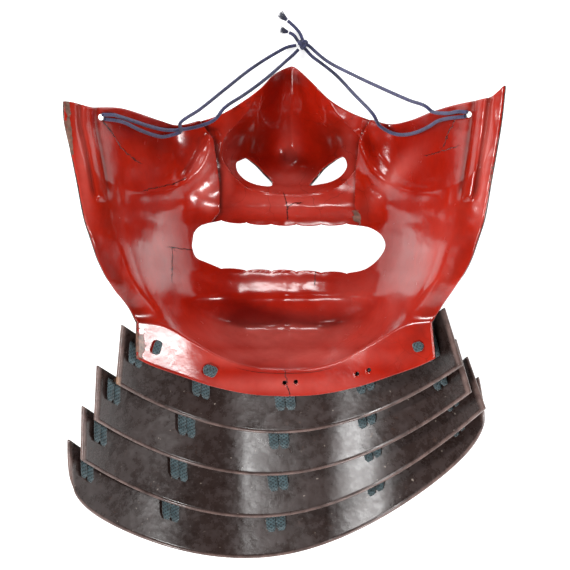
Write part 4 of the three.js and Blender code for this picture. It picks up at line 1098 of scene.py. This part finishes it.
class FACEGUARD_OT_stage(bpy.types.Operator):
    """Makes the camera, the floor and the lamps"""
    bl_idname = "faceguard.stage"
    bl_label = "Stage"

    def execute(self, context):
        s = context.scene.faceguard_stage
        camera = bpy.data.objects.new("camera", bpy.data.cameras.new("camera"))
        camera.data.lens, camera.data.sensor_width, camera.data.clip_end = s.lens, 36.0, 20.0
        camera.location = (s.look_x, s.look_y, s.height)
        context.scene.collection.objects.link(camera)
        context.scene.camera = camera
        mesh = bpy.data.meshes.new("floor")
        corners = [(x * FLOOR_REACH, y * FLOOR_REACH, 0) for x, y in ((-1, -1), (1, -1), (1, 1), (-1, 1))]
        mesh.from_pydata(corners, [], [(0, 1, 2, 3)])
        f = Finish("floor", {"Roughness": 0.9, "Specular IOR Level": 0.1, "Emission Strength": s.floor_glow,
                               "Emission Color": (1, 1, 1, 1)})
        f.link(f.blend(f.between(f.noise(2, 2), 0.3, 0.7, 0.0, 0.04), s.floor_colour, (1, 1, 1)), "Base Color")
        mesh.materials.append(f.material)
        floor = bpy.data.objects.new("floor", mesh)
        context.scene.collection.objects.link(floor)
        for name, place, wide, long, power in LAMPS:
            data = bpy.data.lights.new(name, "AREA")
            data.shape, data.size, data.size_y, data.energy = "RECTANGLE", wide, long, power * s.strength
            lamp = bpy.data.objects.new(name, data)
            lamp.location = place
            lamp.rotation_mode = "QUATERNION"
            lamp.rotation_quaternion = (LAMP_AIM - Vector(place)).to_track_quat("-Z", "Y")
            context.scene.collection.objects.link(lamp)
        world = bpy.data.worlds.new("studio")
        world.use_nodes = True
        background = world.node_tree.nodes["Background"].inputs
        background["Color"].default_value = (1, 1, 1, 1)
        background["Strength"].default_value = WORLD_STRENGTH * s.strength
        context.scene.world = world
        context.scene.view_settings.view_transform = "Standard"
        return {"FINISHED"}


class FACEGUARD_OT_tie_cord(bpy.types.Operator):
    """Makes the navy tie cord: four stretches, the knot and the two tufts"""
    bl_idname = "faceguard.tie_cord"
    bl_label = "Tie cord"

    def execute(self, context):
        s = context.scene.faceguard_cords
        finish = thread("navy_braid", (s.cord_light, s.cord_shade), BRAID_STRANDS, BRAID_PITCH)
        knot = self.knot(s, finish)
        long, short = (self.tuft(name, s, finish) for name in TUFTS)
        for name, (on_face, free) in TIE_CORDS.items():
            route = np.concatenate([above_face(on_face), np.array(free) + (0, 0, FLOOR)])
            path = even(curve(route, PATH_STEPS), CORD_STEP)
            across, out = directions(path)
            tube = sweep(path, across, out, s.diameter / 2, s.diameter / 2, CORD_SIDES, braid)
            points, faces, uv = join([tube])
            nodes, far_end = CORD_NODES[name]
            made = piece(name + "_braid", points, faces, finish, nodes, uv=uv)
        return {"FINISHED"}

    def knot(self, s, finish):
        """An overhand knot drawn tight: a closed path that winds three times round its middle."""
        t = np.linspace(0, 2 * np.pi, KNOT_RINGS, endpoint=False)
        radius = s.diameter / 2
        wide, high = (KNOT_RADIUS - radius) / 3, KNOT_RADIUS * KNOT_FLATNESS - radius
        path = stack(KNOT_X + wide * (np.sin(t) + 2 * np.sin(2 * t)),
                     KNOT_Y + wide * (np.cos(t) - 2 * np.cos(2 * t)),
                     FLOOR + KNOT_RADIUS * KNOT_FLATNESS - high * np.sin(3 * t))
        tangent = unit(np.roll(path, -1, 0) - np.roll(path, 1, 0))
        across = unit(np.cross(tangent, (0, 0, 1.0)))
        out = np.cross(across, tangent)
        sides, n = KNOT_SIDES, KNOT_RINGS
        turn = np.linspace(0, 2 * np.pi, sides, endpoint=False)
        along = np.linspace(0, KNOT_PITCHES * BRAID_PITCH, n, endpoint=False)
        swell = radius * (1 + braid(turn[None], along[:, None]))
        rings = (path[:, None] + across[:, None] * (np.cos(turn) * swell)[..., None]
                 + out[:, None] * (np.sin(turn) * swell)[..., None])
        i, j = (g.ravel() for g in np.meshgrid(np.arange(sides), np.arange(n)))
        k, m = (i + 1) % sides, (j + 1) % n
        quads = np.stack([j * sides + i, j * sides + k, m * sides + k, m * sides + i], 1)[:, ::-1]
        here = j * (KNOT_PITCHES * BRAID_PITCH / n) * sides
        ahead = (j + 1) * (KNOT_PITCHES * BRAID_PITCH / n) * sides
        uv = np.stack([i, ahead, i + 1, ahead, i + 1, here, i, here], 1).reshape(-1, 2) / sides
        return piece("tie_knot_wound", rings.reshape(-1, 3), [quads], finish, ["tie_knot"], uv=uv)

    def tuft(self, name, s, finish):
        """A brush of fine fibres that opens from the cord's end: each fibre is a thin three-sided
        tube that tapers, and its angle comes from the golden turn."""
        start, end, radius = TUFTS[name]
        start, end = np.array(start) + (0, 0, FLOOR), np.array(end) + (0, 0, FLOOR)
        axis, length = unit(end - start), np.linalg.norm(end - start)
        level = unit(np.cross((0, 0, 1.0), axis))
        t = np.linspace(0, 1, 9)
        tubes = []
        for i in range(s.tuft_fibres):
            reach, angle = ((i + 0.5) / s.tuft_fibres) ** 0.5, i * np.pi * (3 - 5 ** 0.5)
            fan = (0.32 + 0.68 * t ** 1.3)[:, None]
            curl = (0.18 * np.sin(3 * t + i) * t)[:, None]
            long = length * (0.82 + 0.18 * np.sin(i * 2.3))
            aside = level * (reach * np.cos(angle) * radius * 0.9 * fan + curl)
            upwards = np.array((0, 0, 0.4)) * radius * reach * np.sin(angle) * fan
            line = start + axis * (t * long)[:, None] + aside + upwards
            across, out = directions(line)
            thin = FIBRE_RADIUS * (1 - 0.6 * t)
            tubes.append(sweep(line, across, out, thin, thin, 3))
        points, faces, uv = join(tubes)
        points[:, 2] = np.maximum(points[:, 2], FLOOR + 0.02)
        return piece(name + "_brush", points, faces, finish, [name], uv=uv)


class FACEGUARD_OT_shell(bpy.types.Operator):
    """Makes the lacquered shell"""
    bl_idname = "faceguard.shell"
    bl_label = "Shell"

    def execute(self, context):
        s = context.scene.faceguard_shell
        on_flange = s.rows // 10
        b_values = np.concatenate([np.linspace(-1, 0, on_flange, endpoint=False),
                                   np.linspace(0, 1, s.rows - on_flange)])
        fields = [outside_of(seam_outline(0)), mouth_field, *(hole(*h) for h in (*CHEEK_HOLES, *FLANGE_HOLES))]
        curved_plate("face_shell", shell_point, shell_back, SHELL_THICKNESS, column_shares(s.columns), b_values,
                     fields, red_lacquer(s), s.rim_bulge, lacquer_maps)
        return {"FINISHED"}


class FACEGUARD_OT_nose_plate(bpy.types.Operator):
    """Makes the nose plate that is fitted behind the cheeks"""
    bl_idname = "faceguard.nose_plate"
    bl_label = "Nose plate"

    def execute(self, context):
        s = context.scene.faceguard_shell
        fields = [inside_of(seam_outline(SEAM_OVERLAP)), mouth_field, outside_of(outline(LEFT_NOSTRIL)),
                  outside_of(outline(RIGHT_NOSTRIL))]
        curved_plate("nose_plate", plate_point, plate_back, PLATE_THICKNESS, np.linspace(*NOSE_PLATE_ACROSS),
                     np.linspace(*NOSE_PLATE_UP), fields, bpy.data.materials[RED_FINISH],
                     s.rim_bulge, nose_maps)
        return {"FINISHED"}


class FACEGUARD_OT_lames(bpy.types.Operator):
    """Makes the four lames of the throat guard"""
    bl_idname = "faceguard.lames"
    bl_label = "Lames"

    def execute(self, context):
        s = context.scene.faceguard_lames
        finish = dark_lacquer(s)
        even_columns = np.linspace(0, 1, s.columns)
        even_rows = np.linspace(0, 1, s.rows)
        a_values = mix(even_columns, 0.5 - 0.5 * np.cos(even_columns * np.pi), END_CROWDING)
        b_values = mix(even_rows, even_rows ** 1.7, RIM_CROWDING)
        for k, lame in enumerate(LAMES):
            reach = HIDDEN_REACH if k == 0 else 1.0

            def bare(a, b, lame=lame, reach=reach):
                return lame_point(lame, np.clip(a, 0, 1), np.clip(b, 0, 1) * reach)

            def raised(a, b, lame=lame):
                return bare(a, b, lame) + (s.rim_height * self.rim(lame, a, b))[..., None] * (0, 0, 1)

            def back(a, b):
                return backwards(bare, a, b)

            def maps(front, a, b, lame=lame):
                return {"rim": self.rim(lame, a, b), "chip": spots(LAME_CHIPS, front[:, 0], front[:, 1])}
            curved_plate(f"throat_lame_{k + 1}", raised, back, LAME_THICKNESS, a_values, b_values, [], finish,
                         LAME_BULGE, maps)
        return {"FINISHED"}

    def rim(self, lame, a, b):
        """One on the rim along the lower edge and the two ends, and nothing elsewhere."""
        from_end = np.minimum(a, 1 - a) * 2 * lame[2][0]
        inwards = np.minimum(b * LAME_HEIGHT, from_end * END_LEAN)
        return 1 - ease((inwards - LAME_RIM_WIDTH) / LAME_RIM_FADE)


def lace_path(upper, upper_thickness, upper_run, lame, share):
    """Path of a pair of laces: down the outer face of the plate above, through the gap and over the
    lame's inner face to its holes there. Also the direction across the pair and the one out of it."""
    def lower(a, b):
        return lame_point(lame, a, b)
    a = (share + 1) / 2
    length = np.linalg.norm(lower(a, 1) - lower(a, 0))
    lap = LAP + LAP_GROWTH * max(share, 0) ** 3
    target, upper_at = lower(a, 1.0)[0], 0.5
    for _ in range(LACE_SEARCH_STEPS):
        upper_at += (target - upper(upper_at, 0.5)[0]) / FACE_WIDTH
    upper_at = min(max(upper_at, 0.02), 0.98)
    stand = LACE_THICKNESS / 2 + LACE_STAND
    heights = np.array(upper_run) / np.linalg.norm(upper(upper_at, 1.0) - upper(upper_at, 0.0))
    path = [upper(upper_at, b) + backwards(upper, upper_at, b) * (upper_thickness + stand) for b in heights]
    for i in range(4):
        b = 1 - (lap - LACE_HIDDEN + (LACE_HIDDEN + LACE_SHOWN) * (i / 3)) / length
        path.append(lower(a, b) - backwards(lower, a, b) * stand)
    across = unit(lower(a + 0.01, 0.5) - lower(a - 0.01, 0.5))
    return np.array(path), across, -backwards(lower, a, 0.5)


class FACEGUARD_OT_laces(bpy.types.Operator):
    """Makes the pairs of laces between the lames, and the laces that show on the flange"""
    bl_idname = "faceguard.laces"
    bl_label = "Laces"

    def execute(self, context):
        s = context.scene.faceguard_cords
        finish = thread("teal_braid", (s.lace_light, s.lace_shade), 6, 1.6)
        for k, lame in enumerate(LAMES):
            def upper(a, b, above=LAMES[max(k - 1, 0)]):
                return lame_point(above, a, b)
            over, thick = (flange_point, SHELL_THICKNESS) if k == 0 else (upper, LAME_THICKNESS)
            for name, share in zip(LACE_NAMES, LACE_PLACES):
                run = () if abs(share) > LACE_END_PLACE else LACE_RUN_ABOVE
                path, across, out = lace_path(over, thick, run, lame, share)
                self.pair(f"lace_{k + 1}_{name}", path, across, out, finish)
        for name, place in FLANGE_LACES.items():
            self.on_flange(f"flange_lace_{name}", *place, finish)
        return {"FINISHED"}

    def pair(self, name, path, across, out, finish):
        """Two plump laces side by side, which narrow and dip where they go into their holes."""
        line = even(curve(path, PATH_STEPS), LACE_STEP)
        along = lengths_along(line)
        dive = np.minimum(ease(along / 1.8), ease((along[-1] - along) / 2.2))
        level, square = np.tile(across, (len(line), 1)), np.tile(out, (len(line), 1))
        quarter, dip = LACE_WIDTH / 4, out * ((1 - dive) * 0.5)[:, None]
        wide, high = quarter * (0.62 + 0.36 * dive), LACE_THICKNESS / 2 * (0.5 + 0.5 * dive)
        tubes = [sweep(line + across * (side * quarter * 0.98) - dip, level, square, wide, high, LACE_SIDES,
                       lace_relief) for side in (-1, 1)]
        points, faces, uv = join(tubes)
        piece(name + "_thread", points, faces, finish, [name], uv=uv)

    def on_flange(self, name, share, height, half_width, half_height, finish):
        """A lace that comes out of the flange, passes over a short way and goes in again."""
        middle, out = flange_point(share, height), -backwards(flange_point, share, height)
        along = unit(flange_point(share + 0.01, height) - flange_point(share - 0.01, height))
        up = unit(np.cross(out, along))
        if half_height > half_width:
            along, up, half_width, half_height = up, along, half_height, half_width
        rings = 48
        t = np.linspace(-1, 1, rings)
        shape = np.sqrt(np.maximum(0.12, 1 - t ** 4))
        arch = LACE_THICKNESS / 2 * (0.35 + 0.95 * np.sqrt(np.maximum(0, 1 - t ** 4)))
        line = middle + along * (t * half_width * 0.93)[:, None] + out * arch[:, None]
        tube = sweep(line, np.tile(up, (rings, 1)), np.tile(out, (rings, 1)), half_height * shape,
                     LACE_THICKNESS / 2 * shape, LACE_SIDES, lace_relief)
        points, faces, uv = join([tube])
        piece(name + "_thread", points, faces, finish, [name], uv=uv)


class FACEGUARD_PT_panel(bpy.types.Panel):
    """Lists the guard's pieces and their sizes"""
    bl_idname = "FACEGUARD_PT_panel"
    bl_label = "Face guard"
    bl_space_type = "VIEW_3D"
    bl_region_type = "UI"
    bl_category = "Face guard"

    def draw(self, context):
        for operator in OPERATORS:
            self.layout.operator(operator.bl_idname)
        for group, kind in GROUPS.items():
            box = self.layout.box()
            for name in kind.__annotations__:
                box.prop(getattr(context.scene, group), name)


OPERATORS = (FACEGUARD_OT_stage, FACEGUARD_OT_tie_cord, FACEGUARD_OT_shell, FACEGUARD_OT_nose_plate,
             FACEGUARD_OT_lames, FACEGUARD_OT_laces)
GROUPS = {"faceguard_shell": ShellSizes, "faceguard_lames": LameSizes, "faceguard_cords": CordSizes,
          "faceguard_stage": StageSizes}


def register():
    """Adds the classes, and the settings to every scene."""
    for kind in (*GROUPS.values(), *OPERATORS, FACEGUARD_PT_panel):
        bpy.utils.register_class(kind)
    for name, kind in GROUPS.items():
        setattr(bpy.types.Scene, name, PointerProperty(type=kind))


def unregister():
    """Takes the settings and the classes away again."""
    for name in GROUPS:
        delattr(bpy.types.Scene, name)
    for kind in reversed((*GROUPS.values(), *OPERATORS, FACEGUARD_PT_panel)):
        bpy.utils.unregister_class(kind)


def main():
    """Builds everything in order."""
    register()
    for operator in OPERATORS:
        family, name = operator.bl_idname.split(".")
        getattr(getattr(bpy.ops, family), name)()


if __name__ == "__main__":
    main()
